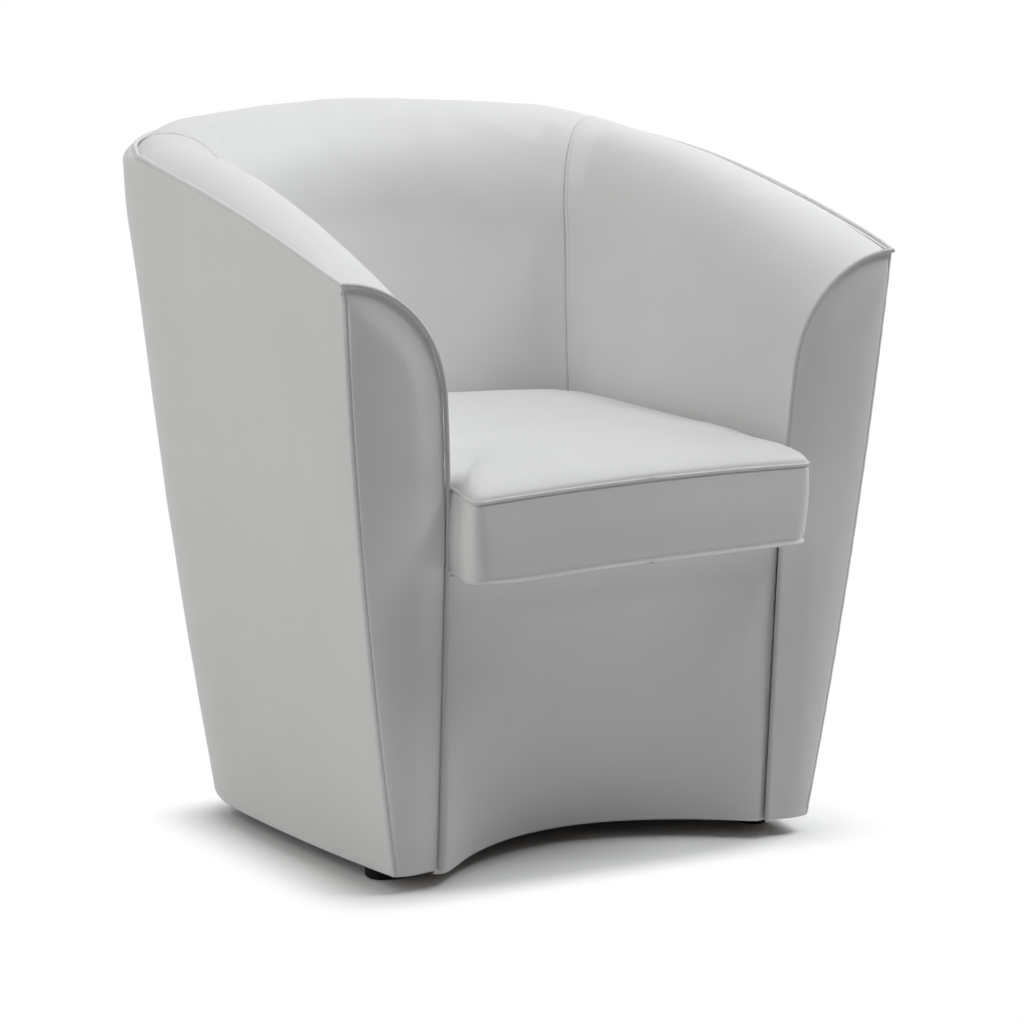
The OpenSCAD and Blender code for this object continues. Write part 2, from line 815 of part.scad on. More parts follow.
module glide(p) {
    r = glide_d / 2;
    color(plastic)
        translate([p.x, p.y, 0])
            rotate_extrude($fn = 64)
                polygon([
                    [0, 0],
                    [r - glide_edge, 0],
                    [r, glide_edge],
                    [r, glide_disc_h - glide_edge],
                    [r - glide_edge, glide_disc_h],
                    [glide_collar_d / 2, glide_disc_h],
                    [glide_collar_d / 2, base_z - gap],
                    [stud_d / 2 + gap, base_z - gap],
                    [stud_d / 2 + gap, base_z - gap - glide_bore_depth],
                    [0, base_z - gap - glide_bore_depth]
                ]);
}

module front_left_glide() {
    glide(front_glide);
}

module front_right_glide() {
    mirrored()
        glide(front_glide);
}

module rear_left_glide() {
    glide(rear_glide);
}

module rear_right_glide() {
    mirrored()
        glide(rear_glide);
}

module glide_studs() {
    low = base_z - glide_bore_depth;
    color(metal)
        for (p = [front_glide, rear_glide], side = [-1, 1])
            translate([side * p.x, p.y, low])
                cylinder(d = stud_d, h = stud_top_z - low, $fn = 48);
}

module tee_nuts() {
    color(metal)
        for (p = [front_glide, rear_glide], side = [-1, 1])
            translate([side * p.x, p.y, base_top_z - nut_h])
                difference() {
                    union() {
                        cylinder(d = nut_d, h = nut_h + gap, $fn = 48);
                        translate([0, 0, nut_h + gap])
                            cylinder(d = nut_flange_d, h = nut_flange_t, $fn = 48);
                    }
                    translate([0, 0, -overrun])
                        cylinder(d = stud_d + 2 * gap, h = nut_h + 2 * overrun, $fn = 48);
                }
}

// Seat cushion: a crowned foam core in a leather cover of two panels and a side band

function cushion_half(out) =
    let (g = cushion_guide, r = cushion_corner_r)
    let (grown = [g[0] + out, g[1], g[2] + out, g[3], g[4] + out, g[5], g[6]])
    let (corner = [g[0] - r, g[1]])
    concat(
        [for (s = cushion_front_shares) [s * corner.x, corner.y - r - out]],
        [for (i = [0:cushion_corner_steps], a = [i * 90 / cushion_corner_steps])
            corner + (r + out) * [sin(a), -cos(a)]],
        [for (w = cushion_way_shares) plan_at(grown, w)]);
function cushion_loop(out) =
    let (points = cushion_half(out))
    concat(points, [for (i = [len(points) - 2:-1:1]) [-points[i].x, points[i].y]]);
cushion_middle_y = (cushion_guide[3] - cushion_overhang) / 2;
function cushion_ring(share, out, z) =
    [for (p = cushion_loop(out))
        [share * p.x, front_y + mix(cushion_middle_y, p.y, share), z]];
function pillow(share) = sqrt(1 - pow(share, pillow_power));

// Walls between rings, joined end to end when the stack is closed
function ring_walls(rings, closed) =
    let (n = len(rings[0]), count = len(rings))
    [for (i = [0:count - (closed ? 1 : 2)], j = [0:n - 1], k = [(j + 1) % n], b = [(i + 1) % count]) each
        quad(i * n + k, i * n + j, b * n + j, b * n + k)];

// A solid through a stack of rings, closed by a middle point below and one above
module ring_solid(rings, low_z, high_z) {
    n = len(rings[0]);
    total = n * len(rings);
    middle = [0, front_y + cushion_middle_y];
    points = concat([for (r = rings) each r], [[middle.x, middle.y, low_z], [middle.x, middle.y, high_z]]);
    low_cap = [for (j = [0:n - 1]) [total, j, (j + 1) % n]];
    high_cap = [for (j = [0:n - 1]) [total + 1, total - n + (j + 1) % n, total - n + j]];
    polyhedron(points, concat(ring_walls(rings, false), low_cap, high_cap));
}

module ring_hoop(rings) {
    polyhedron([for (r = rings) each r], ring_walls(rings, true));
}

// Rings of a crowned panel from its middle out, or from its edge in
function panel_rings(levels, seam_z, crown, out) =
    [for (s = levels) cushion_ring(s, out, seam_z + crown * pillow(s))];
function reversed(list) = [for (i = [len(list) - 1:-1:0]) list[i]];

module cushion_top_panel() {
    inner = panel_rings(cushion_shares, cushion_seam_z + gap, cushion_crown - cover_t, 0);
    outer = panel_rings(cushion_shares, cushion_seam_z + gap + cover_t, cushion_crown - cover_t, 0);
    top_z = cushion_seam_z + gap + cushion_crown;
    color(leather)
        ring_solid(concat(reversed(inner), outer), top_z - cover_t, top_z);
}

module cushion_bottom_panel() {
    depth = cushion_low_seam_z - cushion_base_z - gap - cover_t;
    outer = panel_rings(cushion_low_shares, cushion_low_seam_z - gap - cover_t, -depth, 0);
    inner = panel_rings(cushion_low_shares, cushion_low_seam_z - gap, -depth, 0);
    color(leather)
        ring_solid(concat(reversed(outer), inner), cushion_base_z, cushion_base_z + cover_t);
}

band_steps = 4;
function band_ring(step, out) =
    let (s = step / band_steps)
    cushion_ring(1, out + 4 * cushion_band_bulge * s * (1 - s),
                 mix(cushion_low_seam_z, cushion_seam_z, s));

module cushion_side_band() {
    outer = [for (i = [0:band_steps]) band_ring(i, 0)];
    inner = [for (i = [band_steps:-1:0]) band_ring(i, -cover_t)];
    color(leather)
        ring_hoop(concat(outer, inner));
}

module cushion_core() {
    lift = cushion_core_in + gap;
    low = panel_rings(reversed(cushion_low_shares), cushion_low_seam_z, cushion_base_z + lift
                      - cushion_low_seam_z, -cushion_core_in);
    sides = [for (i = [1:band_steps - 1]) band_ring(i, -cushion_core_in)];
    high = panel_rings(cushion_shares, cushion_seam_z, cushion_crown - cover_t - gap, -cushion_core_in);
    color(foam)
        ring_solid(concat(low, sides, high), cushion_base_z + lift,
                   cushion_seam_z + cushion_crown - cover_t - gap);
}

// The arc that the zip lies on, at the back of the side band
zip_rest = 90 - cushion_turn;
zip_r = (cushion_guide[2] - cushion_guide[4] * (1 - cos(cushion_turn))) / sin(zip_rest);
zip_centre_y = front_y + plan_at(cushion_guide, 3).y - zip_r;
zip_z = (cushion_low_seam_z + cushion_seam_z) / 2;

module zip_slider() {
    face = zip_r + cushion_band_bulge + gap;
    color(metal)
        translate([0, zip_centre_y, zip_z])
            rotate([0, 0, zip_start]) {
                translate([-slider_w / 2, face, -slider_h / 2])
                    cube([slider_w, slider_t, slider_h]);
                translate([-slider_w / 4, face + slider_t, slider_h / 2 - puller_h])
                    cube([slider_w / 2, puller_t, puller_h]);
            }
}

left_outer_cover();
right_outer_cover();
outer_back_cover();
left_facing_cover();
right_facing_cover();
left_arm_cover();
right_arm_cover();
inner_back_cover();
front_panel_cover();
left_facing_welt();
right_facing_welt();
top_welt();
left_arm_foam();
right_arm_foam();
back_foam();
left_side_padding();
right_side_padding();
outer_back_padding();
left_facing_padding();
right_facing_padding();
front_panel_padding();
left_outer_board();
right_outer_board();
outer_back_board();
left_inner_board();
right_inner_board();
inner_back_board();
front_panel_board();
left_arm_front();
right_arm_front();
left_arm_rail();
right_arm_rail();
back_top_rail();
left_base_rail();
right_base_rail();
rear_base_rail();
front_base_rail();
left_rear_post();
right_rear_post();
back_studs();
left_seat_rail();
right_seat_rail();
front_seat_rail();
rear_seat_rail();
crosswise_straps();
lengthwise_straps();
seat_deck();
dust_cover();
front_left_glide();
front_right_glide();
rear_left_glide();
rear_right_glide();
glide_studs();
tee_nuts();
cushion_top_panel();
cushion_side_band();
cushion_bottom_panel();
cushion_core();
zip_slider();
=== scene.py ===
import json
import math
from collections import namedtuple

import bpy
import numpy as np
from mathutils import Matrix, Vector, noise
from mathutils.kdtree import KDTree


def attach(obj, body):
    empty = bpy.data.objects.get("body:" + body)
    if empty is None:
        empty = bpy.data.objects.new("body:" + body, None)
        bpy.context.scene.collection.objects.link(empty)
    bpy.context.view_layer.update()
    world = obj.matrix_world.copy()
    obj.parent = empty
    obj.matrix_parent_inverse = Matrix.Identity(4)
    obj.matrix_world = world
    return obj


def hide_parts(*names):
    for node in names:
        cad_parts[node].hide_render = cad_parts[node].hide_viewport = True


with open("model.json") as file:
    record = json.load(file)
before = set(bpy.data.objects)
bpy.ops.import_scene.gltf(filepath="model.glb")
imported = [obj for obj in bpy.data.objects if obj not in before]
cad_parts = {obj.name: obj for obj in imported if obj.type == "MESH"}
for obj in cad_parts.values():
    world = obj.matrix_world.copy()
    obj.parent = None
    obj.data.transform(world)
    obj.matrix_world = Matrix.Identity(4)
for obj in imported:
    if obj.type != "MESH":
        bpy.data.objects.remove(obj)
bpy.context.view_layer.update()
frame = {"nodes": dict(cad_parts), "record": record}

# Lengths are in millimetres up to the last step of each mesh, as in the part's source.
MM = 0.001
UP = np.array([0, 0, 1.0])

# Heights: the hem, the outer top edge at the arm's front, at the arm's end and at the back's middle
HEM_Z, ARM_Z, SIDE_Z, BACK_Z = 20.0, 664.0, 759.0, 796.0
# Heights: the roll's lower end at the same places, the waist of the inner face, and the seat deck
ROLL_ARM_Z, ROLL_SIDE_Z, ROLL_BACK_Z = 530, 629, 680
WAIST_Z, DECK_Z = 440.0, 346.7
FRONT_Y = -284.222
SEAT_DEPTH = 402
SEAT_HALF, FOOT_HALF = 213.5, 212
# The arm fronts' lean, the fullness of the outer face, and the bow of the arm's top edge
LEAN, BULGE, EDGE_BOW = 39.4, 7.5, 11.0
WELT_R = 2.5
WELT_OUT = 2.8 * math.cos(math.radians(45))
# The turn of the rear corners in degrees, outside and inside
TURN, INNER_TURN = 70, 60
EASE_SOFT, EASE_POWER = 0.0225, 0.6
# Where the outer top edge turns from crisp to round, in stations of half()
SHOULDER_FROM, SHOULDER_SPAN = 0.72, 0.55
# The roll's height over the edge at the arms and the back, and where it is highest, as shares of its width
CROWN_ARM, CROWN_BACK = 29, 30
CREST_SHARES = (0.434, 0.7, 0.15)
CROWN_PULL, ROLL_PULL_SHARE, ROLL_FOOT_SHARE = 1.33, 0.67, 0.03


def mix(a, b, s):
    return a + (b - a) * s


def smooth(s):
    s = np.clip(s, 0, 1)
    return s * s * (3 - 2 * s)


def lean(z):
    return LEAN * (z - HEM_Z) / (ARM_Z - HEM_Z)


def ease(s):
    return (1 + EASE_SOFT) ** EASE_POWER - ((1 - s) ** 2 + EASE_SOFT) ** EASE_POWER


Guide = namedtuple("Guide", "front_x front_y side_x side_y radius turn bow")
SEAT_Y = SEAT_DEPTH - lean(DECK_Z)
HEM = Guide(267, 0, 290, 342, 250, TURN, 0)
TOP = Guide(343, -LEAN, 345, 513 - LEAN, 136, TURN, 3)
ROLL = Guide(221, -lean(ROLL_ARM_Z), 223.5, SEAT_Y + 35.5, 80, INNER_TURN, 0)
WAIST = Guide(214, -lean(WAIST_Z), 212.5, SEAT_Y + 21, 70, INNER_TURN, 0)
SEAT = Guide(SEAT_HALF, -lean(DECK_Z), 211, SEAT_Y, 66, INNER_TURN, 0)


def plan(g, w):
    """A guide's points: w is 0 to 1 along the arm, to 2 round the corner and to 3 at the back's middle."""
    turn = math.radians(g.turn)
    rest = math.pi / 2 - turn
    big = (g.side_x - g.radius * (1 - math.cos(turn))) / math.sin(rest)
    a = turn * np.clip(w - 1, 0, 1)
    b = rest * (3 - np.clip(w, 2, 3))
    x = np.where(w <= 1, mix(g.front_x, g.side_x, w * (2 - w)) + 4 * g.bow * w * (1 - w),
                 np.where(w <= 2, g.side_x - g.radius * (1 - np.cos(a)), big * np.sin(b)))
    y = np.where(w <= 1, mix(g.front_y, g.side_y, w),
                 np.where(w <= 2, g.side_y + g.radius * np.sin(a),
                          g.side_y + g.radius * math.sin(turn) + big * (np.cos(b) - math.cos(rest))))
    return x, y


def heading(w):
    return np.radians(np.where(w <= 1, 0, np.where(w <= 2, TURN * (w - 1), mix(TURN, 90, w - 2))))


def round_share(w):
    return ease(np.clip((w - 1) / 2, 0, 1))


def edge_z(w):
    return np.where(w <= 1, mix(ARM_Z, SIDE_Z, w) + 4 * EDGE_BOW * w * (1 - w),
                    mix(SIDE_Z, BACK_Z, round_share(w)))


def half(u):
    """The station on one half, 0 to 3, of a station round the whole tub, 0 to 6."""
    return np.where(u <= 3, u, 6 - u)


def outward(u):
    """The level direction out of the tub at each station."""
    h = heading(half(u))
    return np.stack([np.where(u <= 3, np.cos(h), -np.cos(h)), np.sin(h), 0 * h], axis=-1)


def shoulder(u):
    """How round the outer top edge is: nothing along the arms, full round the back."""
    return smooth((half(u) - SHOULDER_FROM) / SHOULDER_SPAN)


def place(u, x, y, z):
    return np.stack([np.where(u <= 3, x, -x), y + FRONT_Y, z + 0 * x], axis=-1)


def outer(u, s):
    """Points of the outer face: s is 0 at the hem and 1 at the outer top edge."""
    w = half(u)
    (hx, hy), (tx, ty), h = plan(HEM, w), plan(TOP, w), heading(w)
    full = 4 * BULGE * s * (1 - s)
    return place(u, mix(hx, tx, s) + full * np.cos(h), mix(hy, ty, s) + full * np.sin(h),
                 mix(HEM_Z, edge_z(w), s))


def bezier(p, s):
    return (1 - s) ** 3 * p[0] + 3 * (1 - s) ** 2 * s * p[1] + 3 * (1 - s) * s * s * p[2] + s ** 3 * p[3]


def inner(u, v):
    """Points of the inner leather: v is 0 to 1 over the roll and 1 to 2 down the inner face."""
    w = half(u)
    h = heading(w)
    nx, ny = np.cos(h), np.sin(h)
    (tx, ty), (rx, ry) = plan(TOP, w), plan(ROLL, w)
    top = edge_z(w)
    low = np.where(w <= 1, mix(ROLL_ARM_Z, ROLL_SIDE_Z, w), mix(ROLL_SIDE_Z, ROLL_BACK_Z, round_share(w)))
    across = (tx - rx) * nx + (ty - ry) * ny
    along = -(tx - rx) * ny + (ty - ry) * nx
    crown = np.where(w <= 1, CROWN_ARM * w * (3 - 2 * w), mix(CROWN_ARM, CROWN_BACK, round_share(w)))
    crest = np.where(w <= 1, mix(*CREST_SHARES[:2], w), mix(*CREST_SHARES[1:], (w - 1) / 2))
    high = (rx + nx * across * (1 - crest) - ny * along, ry + ny * across * (1 - crest) + nx * along)
    foot, back = across * ROLL_FOOT_SHARE, along * ROLL_PULL_SHARE
    deep = (rx + nx * foot - ny * back, ry + ny * foot + nx * back)
    high_z, deep_z = top + CROWN_PULL * crown, mix(low, top, ROLL_PULL_SHARE) + crown
    s = np.clip(v, 0, 1)
    over = [bezier(p, s) for p in ((tx, high[0], deep[0], rx), (ty, high[1], deep[1], ry),
                                   (top, high_z, deep_z, low))]
    s = np.clip(v - 1, 0, 1)
    (wx, wy), (sx, sy) = plan(WAIST, w), plan(SEAT, w)
    down = [(1 - s) ** 2 * a + 2 * s * (1 - s) * b + s * s * c
            for a, b, c in ((rx, wx, sx), (ry, wy, sy), (low, WAIST_Z, DECK_Z))]
    x, y, z = (np.where(v <= 1, a, b) for a, b in zip(over, down))
    return place(u, x, y, z)


# The front panel: its top, where it starts to draw in and by how much, its setback and side gap
PANEL_TOP, PANEL_BEND_Z, PANEL_DRAW, PANEL_SET, PANEL_GAP = 344.9, 300, 87, 3, 0.6


def panel(a, z):
    """Points of the front panel: a is -1 to 1 from the chair's right to its left."""
    draw = PANEL_DRAW * np.clip((PANEL_BEND_Z - z) / (PANEL_BEND_Z - HEM_Z), 0, 1)
    wide = SEAT_HALF - (SEAT_HALF - FOOT_HALF) * (DECK_Z - z) / (DECK_Z - HEM_Z) - PANEL_GAP
    y = FRONT_Y - lean(z) + PANEL_SET + draw * np.cos(np.pi / 2 * a)
    return np.stack([a * wide, y, z + 0 * a], axis=-1)


# Small tools for grids of points

# Distances from a sewn edge at which a grid has its points
NEAR = np.array([0, 0.25, 0.6, 1.1, 1.8, 2.7, 4, 6, 8.5, 12])
# How far in and up a turned hem reaches, from its last row to its first
HEM_TURN = ((14, 0.5), (9, 0.0))
BACKWARD = np.array([0, 1, 0])


def spread(length, step, start=True, end=True):
    """Shares from 0 to 1 of a length, closer together near its ends."""
    a = NEAR if start else np.array([0.0])
    b = length - NEAR[::-1] if end else np.array([length])
    n = max(2, int((b[0] - a[-1]) / step))
    return np.concatenate([a, np.linspace(a[-1], b[0], n + 1)[1:-1], b]) / length


def distances(path):
    """Distance along a path from its first point."""
    return np.concatenate([[0], np.cumsum(np.linalg.norm(np.diff(path, axis=0), axis=1))])


def by_length(path, shares):
    """Points of a path at shares of its length."""
    d = distances(path)
    return np.stack([np.interp(shares * d[-1], d, path[:, i]) for i in range(path.shape[1])], axis=1)


def stations(a, b, step=8):
    """Stations round the tub with even spacing and closer ones at the ends."""
    fine = np.linspace(a, b, 400)
    d = distances(outer(fine, np.ones_like(fine)))
    return np.interp(spread(d[-1], step) * d[-1], d, fine)


def lengths(p, axis):
    """Distance along a grid from its first row on an axis."""
    d = np.linalg.norm(np.diff(p, axis=axis), axis=-1)
    pad = [(0, 0), (0, 0)]
    pad[axis] = (1, 0)
    return np.pad(np.cumsum(d, axis=axis), pad)


def unit(v):
    return v / np.maximum(np.linalg.norm(v, axis=-1, keepdims=True), 1e-9)


def normals(p):
    return unit(np.cross(np.gradient(p, axis=0), np.gradient(p, axis=1)))


def tuck(d, r):
    """How far a surface turns in at a distance from a sewn edge, as a quarter round."""
    q = np.clip(r - d, 0, r)
    return r - np.sqrt(np.maximum(r * r - q * q, 0))


def pull(d, depth, reach):
    """How far a seam holds the leather down at a distance from it."""
    return depth * np.exp(-d / reach)


def ridge(d, at, width):
    """1 on a line at a distance, falling to nothing beside it."""
    return np.exp(-((d - at) / width) ** 2)


def ripple(p, size, seed=0.0):
    q = p.reshape(-1, 3) / size + seed
    return np.array([noise.noise(Vector(v)) for v in q]).reshape(p.shape[:-1])


def uneven(p, layers):
    """The leather's unevenness: each layer is a height, a size and a seed."""
    return sum(high * ripple(p, size, seed) for high, size, seed in layers)


def with_hem(p, inward):
    """A grid with a turned hem before its first row."""
    rows = [(p[:, 0] + reach * inward + rise * UP)[:, None] for reach, rise in HEM_TURN]
    return np.concatenate([*rows, p], axis=1)


def in_scene(name, data):
    ob = bpy.data.objects.new(name, data)
    bpy.context.scene.collection.objects.link(ob)
    return ob


def plain_object(name, points, faces):
    me = bpy.data.meshes.new(name)
    me.from_pydata([tuple(v) for v in np.asarray(points).reshape(-1, 3) * MM], [], faces)
    return in_scene(name, me)


def mesh_object(name, points, faces, mat, body, replaced=(), shade=True):
    ob = plain_object(name, points, faces)
    if shade:
        ob.data.polygons.foreach_set("use_smooth", [True] * len(ob.data.polygons))
    ob.data.materials.append(mat)
    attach(ob, body)
    if replaced:
        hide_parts(*replaced)
    return ob


def grid_faces(rows, cols, flip=False, closed=False):
    out = []
    for i in range(rows - 1):
        for j in range(cols if closed else cols - 1):
            k = (j + 1) % cols
            f = (i * cols + j, (i + 1) * cols + j, (i + 1) * cols + k, i * cols + k)
            out.append(f[::-1] if flip else f)
    return out


def tube_faces(rings, sides, base=0):
    """Faces of a tube through rings of points, with its two flat ends."""
    last = base + (rings - 1) * sides
    faces = [tuple(base + i for i in f) for f in grid_faces(rings, sides, closed=True)]
    return faces + [tuple(base + i for i in range(sides))[::-1], tuple(last + i for i in range(sides))]


def leather_sheet(name, p, replaced, flip=False):
    """A padded leather piece of the chair, which replaces CAD nodes."""
    ob = mesh_object(name, p, grid_faces(*p.shape[:2], flip), leather, "chair", replaced)


# A pipe's sides, the rings that round its ends as shares of its radius, and its wobble
PIPE_SIDES = 12
PIPE_END_SHARES = ((-1, 0.35), (-0.8, 0.65), (-0.45, 0.9))
WOBBLE_SIZE, WOBBLE_SEED = 9.0, 3.0


def pipe(name, path, radius, hint, mat, body, wobble, replaced=()):
    """Round leather piping along a path, with rounded ends: hint points out of it at each point."""
    t = unit(np.gradient(path, axis=0))
    a = unit(hint - np.sum(hint * t, axis=1, keepdims=True) * t)
    b = np.cross(t, a)
    r = radius + wobble * ripple(path, WOBBLE_SIZE, WOBBLE_SEED)
    rings = [(path[0] + t[0] * radius * s, a[0], b[0], r[0] * q) for s, q in PIPE_END_SHARES]
    rings += [(path[i], a[i], b[i], r[i]) for i in range(len(path))]
    rings += [(path[-1] - t[-1] * radius * s, a[-1], b[-1], r[-1] * q) for s, q in PIPE_END_SHARES[::-1]]
    ang = np.arange(PIPE_SIDES) * 2 * np.pi / PIPE_SIDES
    pts = [c + q * (np.cos(x) * m + np.sin(x) * n) for c, m, n, q in rings for x in ang]
    mesh_object(name, pts, tube_faces(len(rings), PIPE_SIDES), mat, body, replaced)


# A stitch: spacing, length, radius, flatness, and the place, size and rise of its rings as shares
STITCH_STEP, STITCH_LONG, STITCH_R, STITCH_FLAT = 4.0, 2.9, 0.42, 0.8
STITCH_SHARES = ((-0.5, 0.45, -0.35), (-0.3, 0.95, 0.15), (0, 1, 0.3), (0.3, 0.95, 0.15), (0.5, 0.45, -0.35))
STITCH_SIDES = 6


def stitches(name, path, up, body):
    """A run of thread stitches that lie on a surface along a path."""
    d = distances(path)
    pts, faces = [], []
    for s in np.arange(STITCH_STEP, d[-1] - STITCH_STEP, STITCH_STEP):
        mid, ahead, n = (np.array([np.interp(at, d, v[:, i]) for i in range(3)])
                         for at, v in ((s, path), (s + 0.5, path), (s, up)))
        t, n = unit(ahead - mid), unit(n)
        side = np.cross(t, n)
        base = len(pts)
        for share, size, rise in STITCH_SHARES:
            for k in range(STITCH_SIDES):
                a = 2 * math.pi * k / STITCH_SIDES
                pts.append(mid + t * share * STITCH_LONG + n * rise * STITCH_R
                           + STITCH_R * size * (math.cos(a) * side + STITCH_FLAT * math.sin(a) * n))
        faces += tube_faces(len(STITCH_SHARES), STITCH_SIDES, base)
    mesh_object(name, pts, faces, thread, body)


# Materials

def material(name, rough, metal=0.0, spec=None, sheen=0.0):
    m = bpy.data.materials.new(name)
    m.use_nodes = True
    b = m.node_tree.nodes["Principled BSDF"]
    b.inputs["Roughness"].default_value = rough
    b.inputs["Metallic"].default_value = metal
    if spec is not None:
        b.inputs["Specular IOR Level"].default_value = spec
    if sheen:
        b.inputs["Sheen Weight"].default_value = sheen
        b.inputs["Sheen Roughness"].default_value = 0.4
    return m, m.node_tree, b


def add(t, kind, **values):
    """A new node: a value goes to the input of that name, or else to the node's setting."""
    n = t.nodes.new(kind)
    for k, v in values.items():
        if k in n.inputs:
            n.inputs[k].default_value = v
        else:
            setattr(n, k, v)
    return n


def link(t, source, node, socket, output=0):
    """Joins a socket, or a node's output, to a node's input."""
    t.links.new(source.outputs[output] if isinstance(source, bpy.types.Node) else source, node.inputs[socket])


def coords(t, scale=(1, 1, 1)):
    c = add(t, "ShaderNodeTexCoord")
    m = add(t, "ShaderNodeMapping", Scale=scale)
    link(t, c, m, "Vector", "Object")
    return m.outputs["Vector"]


def ramp(t, source, stops):
    r = add(t, "ShaderNodeValToRGB")
    els = r.color_ramp.elements
    for e, (at, c) in zip(els, stops):
        e.position, e.color = at, (*c, 1)
    link(t, source, r, "Fac")
    return r.outputs["Color"]


def height(t, b, parts):
    """Chained bumps: (texture output, strength, distance in metres)."""
    last = None
    for out, strength, distance in parts:
        n = add(t, "ShaderNodeBump", Strength=strength, Distance=distance)
        link(t, out, n, "Height")
        if last:
            link(t, last, n, "Normal")
        last = n
    link(t, last, b, "Normal")


# How far the pores' pattern is bent
WARP_SHARE = 0.0035


def leather_material(name, light, dark, rough=0.46):
    """Leather: a mottle of two tones, grain in the gloss, and creases, grain and pores as bumps."""
    m, t, b = material(name, rough, spec=0.42, sheen=0.06)
    v = coords(t)
    mottle = add(t, "ShaderNodeTexNoise", Scale=5.5, Detail=4.0, Roughness=0.6)
    grain = add(t, "ShaderNodeTexNoise", Scale=95.0, Detail=5.0, Roughness=0.62)
    cells = add(t, "ShaderNodeTexVoronoi", Scale=820.0, feature="DISTANCE_TO_EDGE")
    warp = add(t, "ShaderNodeTexNoise", Scale=240.0, Detail=2.0)
    crease = add(t, "ShaderNodeTexNoise", Scale=14.0, Detail=6.0, Roughness=0.55, Distortion=1.6)
    for n in (mottle, grain, warp, crease):
        link(t, v, n, "Vector")
    bent = add(t, "ShaderNodeMix", data_type="VECTOR")
    bent.inputs[0].default_value = WARP_SHARE
    link(t, v, bent, 4)
    link(t, warp, bent, 5, "Color")
    link(t, bent, cells, "Vector", 1)
    link(t, ramp(t, mottle, [(0.32, dark), (0.7, light)]), b, "Base Color")
    gloss = add(t, "ShaderNodeMapRange", **{"To Min": rough - 0.06, "To Max": rough + 0.08})
    link(t, grain, gloss, "Value")
    link(t, gloss, b, "Roughness")
    pores = ramp(t, cells, [(0.0, (0, 0, 0)), (0.16, (1, 1, 1))])
    height(t, b, [(crease, 0.16, 0.0016), (grain, 0.12, 0.0005), (pores, 0.16, 0.00012)])
    return m


def wood_material(name, light, dark, scale):
    m, t, b = material(name, 0.6)
    v = coords(t, scale)
    w = add(t, "ShaderNodeTexWave", Scale=3.0, Distortion=6.0, Detail=3.0, **{"Detail Scale": 2.0})
    n = add(t, "ShaderNodeTexNoise", Scale=30.0, Detail=6.0)
    link(t, v, w, "Vector")
    link(t, v, n, "Vector")
    link(t, ramp(t, w.outputs["Fac"], [(0.1, dark), (0.8, light)]), b, "Base Color")
    height(t, b, [(n, 0.3, 0.0004)])
    return m


# A wave texture of scale 1 has this many bands to the metre
WAVE_BANDS = 20 / 6.2832


def woven_material(name, light, dark, pitch, rough=0.85):
    """Crossed waves for warp and weft, whose threads lie about twice the pitch apart, in metres."""
    m, t, b = material(name, rough, sheen=0.2)
    v = coords(t)
    both = add(t, "ShaderNodeMath", operation="MULTIPLY")
    for socket, turn in enumerate((0, math.pi / 2)):
        w = add(t, "ShaderNodeTexWave", Scale=1 / pitch / 20, Distortion=0.0)
        turned = add(t, "ShaderNodeMapping", Rotation=(0, 0, turn), Scale=(WAVE_BANDS,) * 3)
        link(t, v, turned, "Vector")
        link(t, turned, w, "Vector")
        link(t, w, both, socket, "Fac")
    link(t, ramp(t, both, [(0.0, dark), (1.0, light)]), b, "Base Color")
    height(t, b, [(both, 0.6, pitch * 0.2)])
    return m


def speckled_material(name, colour, dark_share, noise_scale, detail, strength, **surface):
    """A hard, even finish with a fine speckle in its colour and its surface."""
    m, t, b = material(name, **surface)
    v = coords(t)
    n = add(t, "ShaderNodeTexNoise", Scale=noise_scale, Detail=detail)
    link(t, v, n, "Vector")
    link(t, ramp(t, n, [(0.3, tuple(c * dark_share for c in colour)), (0.7, colour)]), b, "Base Color")
    height(t, b, [(n, strength, 0.0001)])
    return m


def metal_material(name, colour, rough):
    return speckled_material(name, colour, 0.85, 160.0, 4.0, 0.2, rough=rough, metal=1.0)


def plastic_material(name, colour):
    return speckled_material(name, colour, 0.7, 900.0, 2.0, 0.25, rough=0.6, spec=0.12)


leather = leather_material("pale_leather", (0.845, 0.845, 0.84), (0.805, 0.805, 0.8))
piping_leather = leather_material("piping_leather", (0.82, 0.82, 0.81), (0.77, 0.77, 0.765), 0.42)
# The facings' piping: the same leather as the top piping, drawn darker as painted shade for the shade it lies
# in
front_piping_painted_shade = leather_material("front_piping_painted_shade", (0.66, 0.66, 0.655), (0.6, 0.6, 0.595), 0.42)
thread = woven_material("thread", (0.83, 0.83, 0.82), (0.7, 0.7, 0.69), 0.0006, 0.7)
timber = wood_material("bare_timber", (0.6, 0.42, 0.25), (0.42, 0.27, 0.14), (1, 6, 6))
plywood = wood_material("bare_plywood", (0.68, 0.52, 0.34), (0.52, 0.37, 0.22), (8, 8, 1))
webbing = woven_material("black_webbing", (0.06, 0.06, 0.065), (0.015, 0.015, 0.017), 0.0016)
lining = woven_material("black_lining", (0.035, 0.035, 0.038), (0.01, 0.01, 0.011), 0.0009)
black = plastic_material("black_plastic", (0.004, 0.004, 0.0045))
steel = metal_material("zinc_steel", (0.62, 0.62, 0.64), 0.35)
zip_metal = metal_material("zip_metal", (0.6, 0.6, 0.6), 0.3)
wadding = leather_material("wadding", (0.82, 0.79, 0.66), (0.76, 0.72, 0.58), 0.9)

by_slot = {"timber": timber, "plywood": plywood, "webbing": webbing, "glide_plastic": black, "steel": steel,
           "zip_metal": zip_metal, "leather": leather, "foam": wadding}
for part in frame["record"]["subparts"]:
    ob = frame["nodes"][part["node"]]
    if not ob.material_slots:
        ob.data.materials.append(None)
    for s in ob.material_slots:
        s.material = by_slot[part["material_slot"]]


# Outer leather: two sides and the back, sewn at the rear corners, with a turned hem

